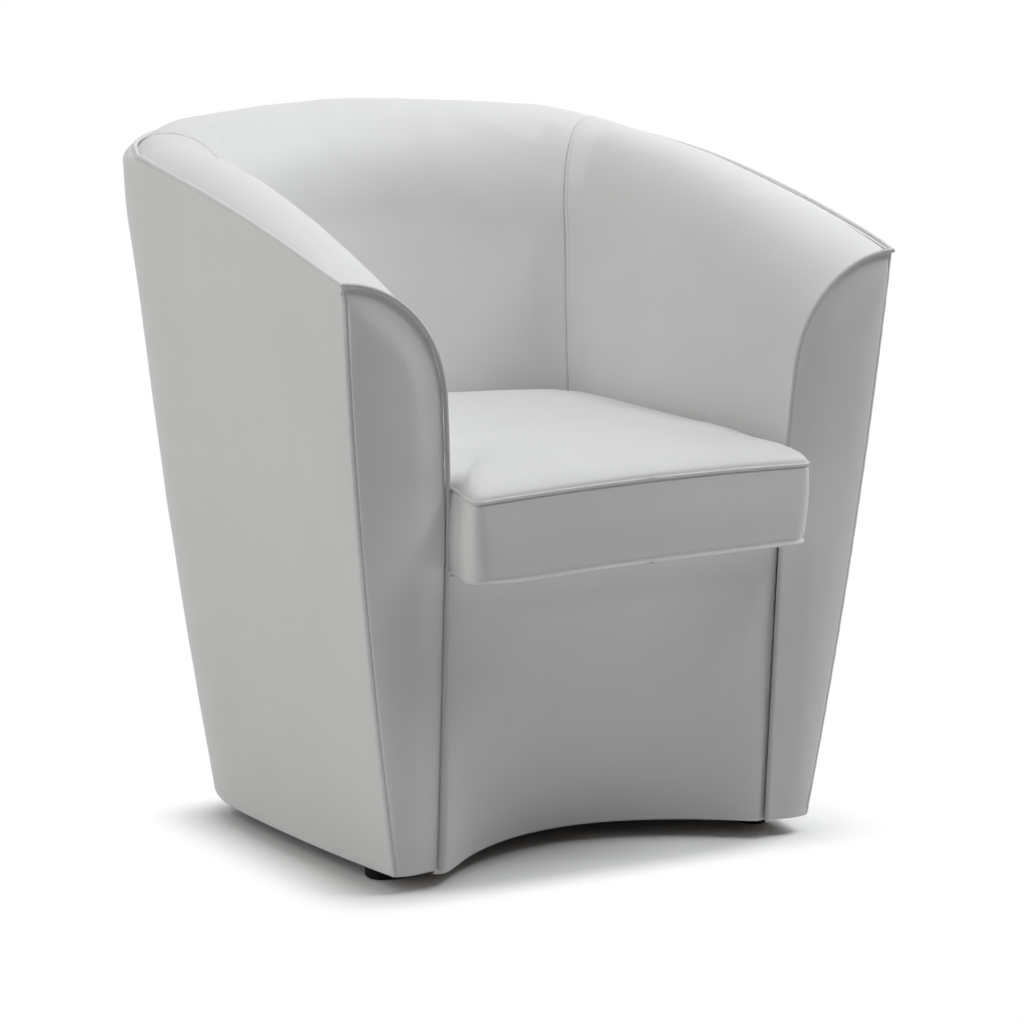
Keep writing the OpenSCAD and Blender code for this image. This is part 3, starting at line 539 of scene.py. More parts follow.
# Radii of the sewn edges, the last for the back's round top edge, and the lift of the leather between
SEAM_R, HEM_R, EDGE_R, BACK_EDGE_R, OUTER_LIFT = 1.8, 3.0, 2.4, 15.0, 0.9
# The fullness below the back's top edge: its height, its distance from the edge and its width
ROLL_OVER, ROLL_OVER_AT, ROLL_OVER_WIDTH = 3.6, 65, 60
OUTER_UNEVEN = ((0.75, 120, 1.3), (0.35, 46, 5.1))


def outer_leather(name, us, replaced):
    u, v = np.meshgrid(us, spread(740, 9.0), indexing="ij")
    p, n = outer(u, v), outward(u)
    du, low = lengths(p, 0), lengths(p, 1)
    side, top, soft = np.minimum(du, du[-1:] - du), low[:, -1:] - low, shoulder(u)
    out = (OUTER_LIFT - tuck(side, SEAM_R) - tuck(low, HEM_R)
           - mix(tuck(top, EDGE_R), tuck(top, BACK_EDGE_R), soft)
           - pull(side, 1.1, 14) - pull(top, 1.2, 14) * (1 - soft)
           + ROLL_OVER * soft * ridge(top, ROLL_OVER_AT, ROLL_OVER_WIDTH))
    out += uneven(p, OUTER_UNEVEN) * smooth(side / 30) * smooth(low / 20)
    leather_sheet(name, with_hem(p + out[..., None] * n, -n[:, 0]), replaced)


outer_leather("side_leather_left", stations(0, 2), ("left_outer_cover", "left_side_padding"))
outer_leather("side_leather_right", stations(4, 6), ("right_outer_cover", "right_side_padding"))
outer_leather("back_leather", stations(2, 4), ("outer_back_cover", "outer_back_padding"))


# Inner leather: two arms and the back, over the roll and down to the seat

# How far in from the CAD's outer top edge the piping and the leather lie round the back
PIPING_IN, LEATHER_IN, LEATHER_IN_REACH = 15.0, 14.0, 26
# Where the top piping leaves the arm's front corner, in stations
PIPING_START = 0.06
INNER_SEAM_R, INNER_LIFT = 2.4, 1.0
INNER_UNEVEN = ((0.8, 130, 9.3), (0.35, 52, 2.1))
# Creases of the inner back run down and slightly across: their stretch, size, seed, depth and lift
CREASE_RUN = np.array([[0.8, 0.2, 0.0], [0.0, 1.0, 0.0], [0.35, 0.0, 0.3]])
CREASE_SIZE, CREASE_SEED, CREASE_DEPTH, CREASE_LIFT = 52, 4.4, 1.6, 0.4
# The seam's flange: how far out and down its two rows lie, along the arms and round the back
ARM_FLANGE = ((-1.2, 3.0), (-2.5, 6.5))
BACK_FLANGE = ((0.0, 0.0), (3.0, 4.5))
ROLL_ROW = 8


def top_piping_path(us):
    in_by = PIPING_IN * shoulder(us) - WELT_OUT * smooth(half(us) / PIPING_START)
    return outer(us, np.ones_like(us)) - in_by[:, None] * outward(us) + WELT_OUT * UP


def inner_leather(name, us, replaced, creased=False):
    s = np.concatenate([spread(190, 6.0, end=False), 1 + spread(300, 8.0, start=False)[1:]])
    u, v = np.meshgrid(us, s, indexing="ij")
    p = inner(u, v)
    n = normals(p)
    if n[len(us) // 2, ROLL_ROW, 2] < 0:
        n = -n
    du, edge = lengths(p, 0), lengths(p, 1)
    side = np.minimum(du, du[-1:] - du)
    out = (INNER_LIFT - tuck(side, INNER_SEAM_R) - tuck(edge, INNER_SEAM_R) - pull(side, 1.6, 9)
           - pull(edge, 2.2, 15))
    out += uneven(p, INNER_UNEVEN) * smooth(side / 30) * smooth(edge / 20)
    if creased:
        folds = CREASE_LIFT - CREASE_DEPTH * np.abs(ripple(p @ CREASE_RUN, CREASE_SIZE, CREASE_SEED))
        out += folds * smooth(side / 35) * smooth(edge / 30)
    p = p + out[..., None] * n
    p -= (LEATHER_IN * shoulder(u) * ridge(edge, 0, LEATHER_IN_REACH))[..., None] * outward(u)
    # A flange closes the seam, under the top piping along the arms and into it round the back
    soft = shoulder(us)[:, None]
    rows = [mix(p[:, 0] + arm_out * outward(us) - arm_down * UP,
                top_piping_path(us) + back_out * outward(us) - back_down * UP, soft)[:, None]
            for (arm_out, arm_down), (back_out, back_down) in zip(ARM_FLANGE, BACK_FLANGE)]
    leather_sheet(name, np.concatenate([rows[1], rows[0], p], axis=1), replaced)


inner_leather("arm_leather_left", stations(0, 1.5), ("left_arm_cover", "left_arm_foam"))
inner_leather("arm_leather_right", stations(4.5, 6), ("right_arm_cover", "right_arm_foam"))
inner_leather("inner_back_leather", stations(1.5, 4.5), ("inner_back_cover", "back_foam"), creased=True)


# Facings: one padded leather panel on the front of each arm

# Points across the facing, of a width of 100, for the groove along its outer edge
GROOVE_COLUMNS = (2.2, 3.0, 3.5, 3.9, 4.3, 4.7, 5.2, 7.0)
GROOVE_AT, GROOVE_WIDTH, GROOVE_DEPTH = 4.1, 0.9, 1.7
# The hem's seam above the lower edge
HEM_LINE_AT, HEM_LINE_WIDTH, HEM_LINE_DEPTH = 11, 1.8, 1.0
FACING_IN_R, FACING_OUT_R, LINE_FADE = 1.3, 1.6, 8
# The padding's rise beside the edges, its fullness between them and its share left at the hem
PAD_RISE, PAD_REACH, PAD_FULL, PAD_LOW_SHARE = 3.5, 12, 26, 0.55
FACING_UNEVEN = ((0.8, 70, 7.7), (0.35, 26, 1.9))
# The last point of the inner edge that belongs to the facing's top
TOP_END = 44
FRONT_WELT_MORE = 0.3
PIPING_WOBBLE = 0.12


def facing_point(x, z, forward):
    """A point in the leaning plane of the arm fronts, moved forward out of it."""
    a = math.atan(LEAN / (ARM_Z - HEM_Z))
    return np.stack([x, FRONT_Y - lean(z) - forward * math.cos(a), z - forward * math.sin(a)], axis=-1)


def inner_edge():
    """The facing's inner edge from the outer top corner over the roll and down to the hem."""
    v = np.concatenate([np.linspace(0, 1, 90), np.linspace(1, 2, 60)[1:]])
    foot = np.stack([np.linspace(SEAT_HALF, FOOT_HALF, 50), np.linspace(DECK_Z, HEM_Z, 50)], axis=1)[1:]
    return np.concatenate([inner(0 * v, v)[:, [0, 2]], foot])


def least_distance(points, rim):
    """Each point's distance to the nearest point of a rim, in parts to save memory."""
    q = points.reshape(-1, 1, 2)
    return np.concatenate([np.sqrt(((q[i:i + 400] - rim) ** 2).sum(-1).min(1))
                           for i in range(0, len(q), 400)]).reshape(points.shape[:-1])


def facing_grid(edge, left):
    """A grid in the facing's plane between its four edges."""
    a, b = spread(100, 3.5), spread(640, 8.0)
    a = np.unique(np.concatenate([a, np.array(GROOVE_COLUMNS) / 100]))
    low = left[:1] + a[:, None] * (edge[-1:] - left[:1])
    top = by_length(edge[:TOP_END + 1], a)
    out, into = by_length(left, b), by_length(edge[TOP_END:][::-1], b)
    aa, bb = a[:, None, None], b[None, :, None]
    return (mix(out[None], into[None], aa) + mix(low[:, None], top[:, None], bb)
            - mix(mix(low[0], low[-1], aa), mix(top[0], top[-1], aa), bb))


def facing(side, word):
    edge = inner_edge()
    fine = np.linspace(0, 1, 120)
    left = outer(0 * fine, fine)[:, [0, 2]]
    p = facing_grid(edge, left)
    x, z = p[..., 0], p[..., 1]
    d_in = least_distance(p, np.concatenate([edge, by_length(edge, np.linspace(0, 1, 900))]))
    d_out = least_distance(p, by_length(left, np.linspace(0, 1, 700)))
    d_low = z - HEM_Z
    across = d_out / np.maximum(d_out + d_in, 1)
    pad = (PAD_RISE * (1 - np.exp(-d_in / PAD_REACH)) * (1 - np.exp(-d_out / PAD_REACH))
           + PAD_FULL * across * (1 - across) * smooth(d_in / 40))
    out = (pad * mix(PAD_LOW_SHARE, 1, smooth(d_low / 90))
           - tuck(d_in, FACING_IN_R) - tuck(d_out, FACING_OUT_R) - tuck(d_low, HEM_R)
           - GROOVE_DEPTH * ridge(d_out, GROOVE_AT, GROOVE_WIDTH) * smooth(d_low / LINE_FADE)
           * smooth(d_in / LINE_FADE)
           - HEM_LINE_DEPTH * ridge(d_low, HEM_LINE_AT, HEM_LINE_WIDTH) * smooth(d_out / LINE_FADE))
    out += uneven(facing_point(x, z, 0 * out), FACING_UNEVEN) * smooth(d_in / 25) * smooth(d_out / 25)
    q = with_hem(facing_point(x, z, out), BACKWARD)
    q[..., 0] *= side
    leather_sheet(f"facing_leather_{word}", q, (f"{word}_facing_cover", f"{word}_facing_padding"),
                  flip=side < 0)
    # Piping over the roll and down to the hem, in a darker copy of the piping leather with its shade painted
    # into the colour
    e = by_length(edge, np.linspace(0, 1, 520))
    t = unit(np.gradient(e, axis=0))
    n = np.stack([t[:, 1], -t[:, 0]], axis=1)
    c = e + WELT_OUT * n
    path = facing_point(c[:, 0], c[:, 1], WELT_OUT + FRONT_WELT_MORE)
    path[:, 0] *= side
    path[:, 2] = np.maximum(path[:, 2], HEM_Z + WELT_R)
    hint = np.stack([side * n[:, 0], 0 * n[:, 0], n[:, 1]], axis=1)
    pipe(f"facing_piping_{word}", path[1:], WELT_R + FRONT_WELT_MORE, hint[1:], front_piping_painted_shade, "chair",
         PIPING_WOBBLE, (f"{word}_facing_welt",))


facing(1, "left")
facing(-1, "right")


def top_piping():
    us = np.concatenate([np.linspace(0, 1, 90), np.linspace(1, 2, 60)[1:], np.linspace(2, 4, 90)[1:],
                         np.linspace(4, 5, 60)[1:], np.linspace(5, 6, 90)[1:]])
    pipe("top_piping", top_piping_path(us), WELT_R, outward(us), piping_leather, "chair", PIPING_WOBBLE,
         ("top_welt",))


top_piping()


# Front panel

PANEL_SEAM_R, PANEL_LIFT = 2.5, 0.6
PANEL_UNEVEN = ((0.9, 110, 3.3), (0.3, 40, 8.1))
# The leather stands out beside the piping, and its hem hangs lowest at the chair's right
BESIDE_OUT, BESIDE_FROM, BESIDE_REACH, BESIDE_TOP_Z, BESIDE_FADE = 9.0, 9, 52, 260, 200
HANG, HANG_REACH, HANG_FADE = 5.5, 75, 60
# How far back and up the rows of the flap over the panel's top lie
PANEL_FLAP = ((0.7, 1.1), (2.5, 1.7), (6, 1.85), (80, 1.85))


def front_panel():
    a, s = spread(424, 8.0), spread(325, 8.0)
    a, z = np.meshgrid(2 * a - 1, HEM_Z + s * (PANEL_TOP - HEM_Z), indexing="ij")
    p = panel(a, z)
    n = normals(p)
    if n[len(a) // 2, len(s) // 2, 1] > 0:
        n = -n
    du, low = lengths(p, 0), z - HEM_Z
    side = np.minimum(du, du[-1:] - du)
    out = PANEL_LIFT - tuck(side, PANEL_SEAM_R) - tuck(low, HEM_R) - pull(side, 2.4, 9)
    out += uneven(p, PANEL_UNEVEN) * smooth(side / 30) * smooth(low / 20)
    p = p + out[..., None] * n
    p[..., 1] -= (BESIDE_OUT * (1 - ridge(side, 0, BESIDE_FROM)) * ridge(side, 0, BESIDE_REACH)
                  * smooth((BESIDE_TOP_Z - z) / BESIDE_FADE))
    p[..., 2] -= HANG * ridge(du, 0, HANG_REACH) * (1 - smooth(low / HANG_FADE))
    flap = [(p[:, -1] + [0, back, rise])[:, None] for back, rise in PANEL_FLAP]
    leather_sheet("front_panel_leather", np.concatenate([with_hem(p, BACKWARD), *flap], axis=1),
                  ("front_panel_cover", "front_panel_padding"))


front_panel()


# Seat cushion: simulated over its filling, then sewn

CUSHION_LOW, CUSHION_SEAM, CUSHION_CROWN = 352.7, 437.7, 28.3
BAND = CUSHION_SEAM - CUSHION_LOW
# How far the cushion stands out in front of the arms, and where its side guide starts behind that
CUSHION_OUT, GUIDE_BACK = 60, 20
CUSHION = Guide(206, GUIDE_BACK - CUSHION_OUT - lean(DECK_Z), 208.5, SEAT_Y, 63.5, INNER_TURN, -1.5)
CUSHION_MID_Y = (SEAT_Y - CUSHION_OUT) / 2
TOP_CORNER_R, LOW_CORNER_R = 9.0, 21.0
# The radius and middle of the curve of the rear band, as plan() makes it
ZIP_R = (CUSHION.side_x - CUSHION.radius * 0.5) / 0.5
ZIP_Y = float(plan(CUSHION, np.array([3.0]))[1][0]) - ZIP_R
# It widens between the arms and again in front of them: by how much, from which y, over how long
WIDER_ARMS, WIDER_FRONT = (4.6, 170, 190), (8.5, -32, 30)
# It lies askew in front: slope, shift, from which y, over how long
ASKEW_SLOPE, ASKEW_SHIFT, ASKEW_Y, ASKEW_SPAN = 0.07, 3.5, 60, 140
FRONT_RISE, REAR_RISE, SAG = 5.0, 5.5, 2.5
SAG_X, SAG_WIDTH = -150, 55


def cushion_loop(out, count, corner):
    """The cushion's outline in plan, evenly spaced, from the middle of the front round by the left."""
    g = CUSHION
    cx, cy, r = g.front_x - corner, g.front_y - GUIDE_BACK + corner, corner + out
    ang = np.linspace(0, np.pi / 2, 24)
    w = np.concatenate([np.linspace(0, 1, 90)[1:], np.linspace(1, 3, 160)[1:]])
    x, y = plan(Guide(g.front_x + out, cy, g.side_x + out, g.side_y, g.radius + out, g.turn, g.bow), w)
    one = np.concatenate([np.stack([np.linspace(0, cx, 40)[:-1], np.full(39, cy - r)], axis=1),
                          np.stack([cx + r * np.sin(ang), cy - r * np.cos(ang)], axis=1),
                          np.stack([x, y], axis=1)])
    wider = sum(by * smooth((start - one[:, 1]) / span) for by, start, span in (WIDER_ARMS, WIDER_FRONT))
    one[:, 0] += wider * np.clip(one[:, 0] / g.front_x, 0, 1) ** 2
    loop = np.concatenate([one, one[-2::-1] * [-1, 1]])
    return by_length(loop, np.linspace(0, 1, count + 1)[:-1])


def cushion_ring(share, out, z, count, corner=TOP_CORNER_R):
    """A ring of the cushion, which lies a little askew and sags where it stands out in front."""
    p = cushion_loop(out, count, corner)
    x, y = share * p[:, 0], mix(CUSHION_MID_Y, p[:, 1], share)
    y = y + (ASKEW_SLOPE * x - ASKEW_SHIFT) * smooth((ASKEW_Y - y) / ASKEW_SPAN)
    high = np.clip((z - CUSHION_LOW) / BAND, 0, 1)
    rise = (FRONT_RISE * (1 - np.clip(x / 215, -1, 1) ** 2) * smooth((-y - 10) / 60)
            + REAR_RISE * smooth((y + 100) / 85)) * high
    sag = SAG * ridge(x, SAG_X, SAG_WIDTH) * smooth((-y - 40) / 30) * (1 - high)
    return np.stack([x, FRONT_Y + y, z + rise - sag], axis=1)


def ring_mesh(rings):
    """Points and faces of a closed solid through rings, with a middle point at each end."""
    n = len(rings[0])
    pts = np.concatenate([rings[0].mean(0, keepdims=True), *rings, rings[-1].mean(0, keepdims=True)])
    faces = [tuple(1 + i for i in f) for f in grid_faces(len(rings), n, flip=True, closed=True)]
    last = 1 + (len(rings) - 1) * n
    faces += [(0, 1 + (j + 1) % n, 1 + j) for j in range(n)]
    faces += [(len(pts) - 1, last + j, last + (j + 1) % n) for j in range(n)]
    return pts, faces


def point_tree(points):
    tree = KDTree(len(points))
    for i, v in enumerate(points):
        tree.insert(Vector(v), i)
    tree.balance()
    return tree


# The filling: rings towards the middle, and its fullness below, above and at the band
FILLING_SHARES = (0.3, 0.6, 0.85, 0.97)
FILLING_LOW, FILLING_TOP, FILLING_BAND, FILLING_COUNT = 4, 15, 0.5, 150
# The simulation: the cloth's face size and the seams' reach in metres, and its frames
CLOTH_FACE, CLOTH_PIN, CLOTH_FRAMES = 0.006, 0.007, 20


def filling_object():
    rings = [cushion_ring(q, 0, CUSHION_LOW - FILLING_LOW * math.sqrt(1 - q ** 4), FILLING_COUNT)
             for q in FILLING_SHARES]
    rings += [cushion_ring(1, FILLING_BAND * math.sin(math.pi * q), mix(CUSHION_LOW, CUSHION_SEAM, q),
                           FILLING_COUNT) for q in np.linspace(0, 1, 12)]
    rings += [cushion_ring(q, 0, CUSHION_SEAM + FILLING_TOP * math.sqrt(1 - q ** 4), FILLING_COUNT)
              for q in FILLING_SHARES[::-1]]
    ob = plain_object("filling", *ring_mesh(rings))
    even = ob.modifiers.new("remesh", "REMESH")
    even.mode, even.voxel_size = "VOXEL", CLOTH_FACE
    bpy.context.view_layer.objects.active = ob
    bpy.ops.object.modifier_apply(modifier="remesh")
    return ob


def simulated_push():
    """Where the points of a cloth over the filling start, and how far they move."""
    ob = filling_object()
    start = np.array([v.co for v in ob.data.vertices])
    seams = point_tree(np.concatenate([cushion_ring(1, 0, z, 400) for z in (CUSHION_LOW, CUSHION_SEAM)]) * MM)
    pins = ob.vertex_groups.new(name="seams")
    for i, v in enumerate(start):
        if seams.find(Vector(v))[2] < CLOTH_PIN:
            pins.add([i], 1.0, "REPLACE")
    cloth = ob.modifiers.new("cloth", "CLOTH")
    c = cloth.settings
    c.quality, c.mass, c.tension_stiffness, c.compression_stiffness = 5, 0.35, 18, 12
    c.shear_stiffness, c.bending_stiffness = 6, 0.8
    c.vertex_group_mass = "seams"
    c.use_pressure, c.uniform_pressure_force = True, 4.0
    c.effector_weights.gravity = 0
    cloth.collision_settings.use_collision = False
    cloth.point_cache.frame_start, cloth.point_cache.frame_end = 1, CLOTH_FRAMES
    for f in range(1, CLOTH_FRAMES + 1):
        bpy.context.scene.frame_set(f)
    bpy.ops.object.modifier_apply(modifier="cloth")
    end = np.array([v.co for v in ob.data.vertices])
    bpy.data.objects.remove(ob, do_unlink=True)
    bpy.context.scene.frame_set(1)
    return start / MM, (end - start) / MM


def band_out(down, up):
    """Fullness of the side band by the distances from its upper and lower seams."""
    s = down / (down + up)
    return (10 * s * (1 - s) + ridge(down, 0, 1) - 1.5 * ridge(down, 3, 1.25) + 1.2 * ridge(up, 0, 1.5)
            - 0.9 * ridge(up, 4, 1.4))


# The cover's rings: shares towards the middle, and distances below the band's top seam
COVER_COUNT = 460
LOW_SHARES = (0.06, 0.2, 0.36, 0.52, 0.66, 0.78, 0.87, 0.93, 0.965, 0.985)
TOP_SHARES = (0.999, 0.9975, 0.995, 0.992, 0.988, 0.981, 0.972, 0.96, 0.945, 0.925, 0.9, 0.87, 0.83, 0.78,
              0.72, 0.65, 0.57, 0.48, 0.38, 0.27, 0.15, 0.05)
UPPER_BAND = (0, 0.4, 0.8, 1.3, 1.8, 2.2, 2.6, 3.0, 3.4, 3.8, 4.3, 4.9, 5.7, 6.8, 8.5, 11, 14)
LOWER_BAND = (77, 79, 80.4, 81.6, 82.6, 83.4, 84, 84.5, 85)
COVER_LOW_FULL = 5.6
# Between the arms the band stays within this of its seams
HELD_OUT = 0.7
# Limits of the simulated push: in all, at the top down and up, and at the band inside and in front
PUSH_MOST, TOP_PUSH, BAND_PUSH, FRONT_PUSH = 22, (-3.0, 2.0), 0.4, 2.4
COVER_UNEVEN = ((1.1, 95, 6.2), (0.4, 38, 0.7))
BELOW, SIDE, ABOVE = 0, 1, 2


def cover_rings():
    """The cover's rings from below to above, the kind of each and each one's distance to a seam."""
    low = [cushion_ring(q, 0, CUSHION_LOW - COVER_LOW_FULL * math.sqrt(1 - q ** 6), COVER_COUNT, LOW_CORNER_R)
           for q in LOW_SHARES]
    downs = np.concatenate([UPPER_BAND, np.linspace(18, 73, 12), LOWER_BAND])
    band = []
    for d in downs[::-1]:
        full, corner = float(band_out(d, BAND - d)), mix(TOP_CORNER_R, LOW_CORNER_R, (d / BAND) ** 1.5)
        free, held = (cushion_ring(1, o, CUSHION_SEAM - d, COVER_COUNT, corner)
                      for o in (full, min(full, HELD_OUT)))
        band.append(mix(free, held, smooth((free[:, 1:2] - FRONT_Y + 45) / 30)))
    top = []
    for q in TOP_SHARES:
        ring = cushion_ring(q, 0, CUSHION_SEAM, COVER_COUNT)
        flatness = mix(4.5, 12, smooth((ring[:, 1] - FRONT_Y + 30) / 130))
        ring[:, 2] += CUSHION_CROWN * (1 - q ** flatness) ** 0.5
        top.append(ring)
    kind = [BELOW] * len(low) + [SIDE] * len(band) + [ABOVE] * len(top)
    to_seam = np.concatenate([np.zeros(len(low)), np.minimum(downs, BAND - downs)[::-1], np.zeros(len(top))])
    return low + band + top, kind, to_seam


def limited(move, most):
    return move * np.minimum(1, most / np.maximum(np.linalg.norm(move, axis=1, keepdims=True), 1e-6))


def pushed(pts):
    move = np.zeros_like(pts)
    start, push = simulated_push()
    tree = point_tree(start)
    for i, v in enumerate(pts):
        near_by = tree.find_n(Vector(v), 5)
        w = np.array([1 / (d + 1.0) for _, _, d in near_by])
        move[i] = (w[:, None] * push[[k for _, k, _ in near_by]]).sum(0) / w.sum()
    return limited(move, PUSH_MOST)


def cushion_cover():
    rings, kind, to_seam = cover_rings()
    pts, faces = ring_mesh(rings)
    move = pushed(pts)
    which = np.concatenate([[BELOW], np.repeat(kind, COVER_COUNT), [ABOVE]])
    above, side = which == ABOVE, which == SIDE
    away = np.concatenate([[BAND], np.repeat(to_seam, COVER_COUNT), [BAND]])
    edge = cushion_ring(1, 0, 0, 600)[:, :2]
    for i in np.nonzero(above)[0]:
        away[i] = np.sqrt(((edge - pts[i, :2]) ** 2).sum(1).min())
    mid = float(np.mean(move[above][:, 2]))
    lift = np.where(above, np.clip(move[:, 2] - mid, *TOP_PUSH), 0.0) * smooth(away / 40)
    front = smooth((-290 - pts[:, 1]) / 20)
    level = limited(move * [1, 1, 0], BAND_PUSH + FRONT_PUSH * front[:, None])
    pts = pts + level * (side * smooth((away - 11) / 25))[:, None]
    pts[:, 2] += lift
    soft = uneven(pts, COVER_UNEVEN)
    pts[:, 2] += np.where(above, soft * smooth(away / 30), 0)
    pts[:, 1] -= np.where(side, front * soft * 0.8 * smooth((away - 10) / 20), 0)
    ob = mesh_object("cushion_leather", pts, faces, leather, "cushion",
                     ("cushion_top_panel", "cushion_side_band", "cushion_bottom_panel", "cushion_core"))


# The cushion's sewn edges and the stitches below the upper one
EDGE_PIPE_R, EDGE_OUT, EDGE_OFF, EDGE_WOBBLE = 1.25, 0.7, 0.4, 0.08
STITCH_DOWN, STITCH_OUT = 3.0, 0.1


def cushion_edges():
    for z, corner, name in ((CUSHION_SEAM + EDGE_OFF, TOP_CORNER_R, "top"),
                            (CUSHION_LOW - EDGE_OFF, LOW_CORNER_R, "bottom")):
        path = cushion_ring(1, EDGE_OUT, z, 900, corner)
        path = np.concatenate([path, path[:4]])
        middle = np.array([0, FRONT_Y + CUSHION_MID_Y, z])
        pipe(f"cushion_edge_{name}", path, EDGE_PIPE_R, path - middle, piping_leather, "cushion", EDGE_WOBBLE)
    out = float(band_out(STITCH_DOWN, BAND - STITCH_DOWN)) + STITCH_OUT
    path = cushion_ring(1, out, CUSHION_SEAM - STITCH_DOWN, 900)
    t = np.gradient(path, axis=0)
    stitches("cushion_stitches", path, np.stack([t[:, 1], -t[:, 0], 0 * t[:, 0]], axis=1), "cushion")


# The zip in the rear of the band: half its length in degrees, and its place
TAPE_HALF, TEETH_HALF, TEETH_STEP = 27, 26, 0.42
TAPE_R, ZIP_Z = ZIP_R + 2.5, (CUSHION_LOW + CUSHION_SEAM) / 2
# The tape's rows: height and depth, with the two halves meeting under the teeth
TAPE_ROWS = ((-11, -0.9), (-10.5, -0.05), (-1.6, -0.05), (-1.3, -0.5), (1.3, -0.5), (1.6, -0.05),
             (10.5, -0.05), (11, -0.9))
# A tooth: half its width, its faces' depths, half its height, its offset and its taper
TOOTH_HALF, TOOTH_DEPTH, TOOTH_HIGH, TOOTH_OFF, TOOTH_TAPER = 0.55, (-0.45, 0.2), 1.4, 0.9, 0.8
TOOTH_FACES = ((0, 1, 3, 2), (4, 6, 7, 5), (0, 4, 5, 1), (2, 3, 7, 6), (0, 2, 6, 4), (1, 5, 7, 3))


def zip_point(angle, out, along, z):
    """A point of the zip at an angle round its curve, moved out of the band and along it."""
    c, s, r = math.cos(angle), math.sin(angle), TAPE_R + out
    return r * s + along * c, FRONT_Y + ZIP_Y + r * c - along * s, ZIP_Z + z


def zip_parts():
    tape = np.array([[zip_point(q, out, 0, z) for z, out in TAPE_ROWS]
                     for q in np.radians(np.linspace(-TAPE_HALF, TAPE_HALF, 120))])
    mesh_object("zip_tape", tape, grid_faces(*tape.shape[:2], flip=True), lining, "cushion")
    pts, faces = [], []
    for i, q in enumerate(np.radians(np.arange(-TEETH_HALF, TEETH_HALF, TEETH_STEP))):
        base, off = len(pts), TOOTH_OFF if i % 2 else -TOOTH_OFF
        for along in (-TOOTH_HALF, TOOTH_HALF):
            for out in TOOTH_DEPTH:
                taper = TOOTH_TAPER if out > 0 else 1.0
                pts += [zip_point(q, out, along * taper, off + z * taper) for z in (-TOOTH_HIGH, TOOTH_HIGH)]
        faces += [tuple(base + k for k in f) for f in TOOTH_FACES]
    mesh_object("zip_teeth", pts, faces, zip_metal, "cushion", shade=False)


cushion_cover()
cushion_edges()
zip_parts()


# Topstitching beside the seams between the inner back and the arms

SEAM_AT, SEAM_BESIDE, SEAM_OFF, SEAM_OUT = 1.5, 0.03, 6.0, 0.35


def seam_stitches(side, word):
    v = np.linspace(0.10, 1.97, 260)
    beside, seam = (inner(np.full_like(v, q), v) for q in (SEAM_AT - SEAM_BESIDE, SEAM_AT))
    across = unit(seam - beside)
    n = unit(np.cross(across, np.gradient(seam, axis=0)))
    if n[60, 2] < 0:
        n = -n
    path = seam - SEAM_OFF * across + SEAM_OUT * n
    mirror = [side, 1, 1]
    stitches(f"seam_stitches_{word}", path * mirror, n * mirror, "chair")


seam_stitches(1, "left")
seam_stitches(-1, "right")


# Lining under the seat cushion and under the chair

# Height and thickness of each lining, and how far inside the tub's outer face its rim lies
DECK_TOP, DECK_THICK, DECK_RIM_Z, DECK_INSIDE = 346.3, 1.3, 340, 43.6
DUST_TOP, DUST_THICK, DUST_INSIDE = 21.6, 0.7, 17
# How far each lies behind the front panel
DECK_BACK, DUST_BACK = 14.7, 31


def stretched(name, rim, middle_y, z, node, thick):
    middle = np.array([0, FRONT_Y + middle_y])
    rings = [middle + q * (rim - middle) for q in np.linspace(0.02, 1, 16)]
    flat = [np.column_stack([r, np.full(len(rim), z)]) for r in rings]
    for r in flat:
        r[:, 2] += uneven(r, ((0.1, 60, 2.2),))
    under = [r - [0, 0, thick] for r in flat[::-1]]
    pts, faces = ring_mesh(flat + under)
    ob = mesh_object(name, pts, faces, lining, "chair", (node,))


def rim_of(z, depth, us):
    """A level line round the tub, inside its outer face by a depth."""
    s = (z - HEM_Z) / (edge_z(half(us)) - HEM_Z)
    return (outer(us, s) - depth * outward(us))[:, :2]


def linings():
    us = np.concatenate([np.linspace(0.06, 1, 30), np.linspace(1, 5, 120)[1:-1], np.linspace(5, 5.94, 30)])
    front_y = FRONT_Y - lean(PANEL_BEND_Z) + PANEL_SET + DECK_BACK
    front = np.stack([np.linspace(-SEAT_HALF, SEAT_HALF, 30), np.full(30, front_y)], axis=1)
    stretched("seat_lining", np.concatenate([rim_of(DECK_RIM_Z, DECK_INSIDE, us), front]), 260.0, DECK_TOP,
              "seat_deck", DECK_THICK)
    front = panel(np.linspace(-1, 1, 40), np.full(40, HEM_Z))[:, :2] + [0, DUST_BACK]
    stretched("under_lining", np.concatenate([rim_of(HEM_Z, DUST_INSIDE, us), front]), 330.0, DUST_TOP,
              "dust_cover", DUST_THICK)


linings()


# Floor, light and camera, in metres but for the floor's size

FLOOR_HALF = 90000
FLOOR_SEEN, FLOOR_OTHER = (1.15, 1.15, 1.15, 1), (0.8, 0.8, 0.8, 1)
WHITE = (1, 1, 1, 1)
# The floor keeps the shadow inside a rounded box round the chair and is plain white outside it
SHADE_HALF_X, SHADE_HALF_Y, SHADE_MID_Y, FADE_FROM, FADE_TO = 0.29, 0.215, -0.08, 0.96, 1.3


def seen_rays(t):
    """1 for rays that show the backdrop: to the camera, mirrored or through glass."""
    path = add(t, "ShaderNodeLightPath")
    out = path.outputs["Is Camera Ray"]
    for kind in ("Is Glossy Ray", "Is Transmission Ray"):
        either = add(t, "ShaderNodeMath", operation="MAXIMUM")
        link(t, out, either, 0)
        link(t, path, either, 1, kind)
        out = either
    return out


def mixed_shader(t, share, first, second):
    m = add(t, "ShaderNodeMixShader")
    for socket, source in enumerate((share, first, second)):
        link(t, source, m, socket)
    return m


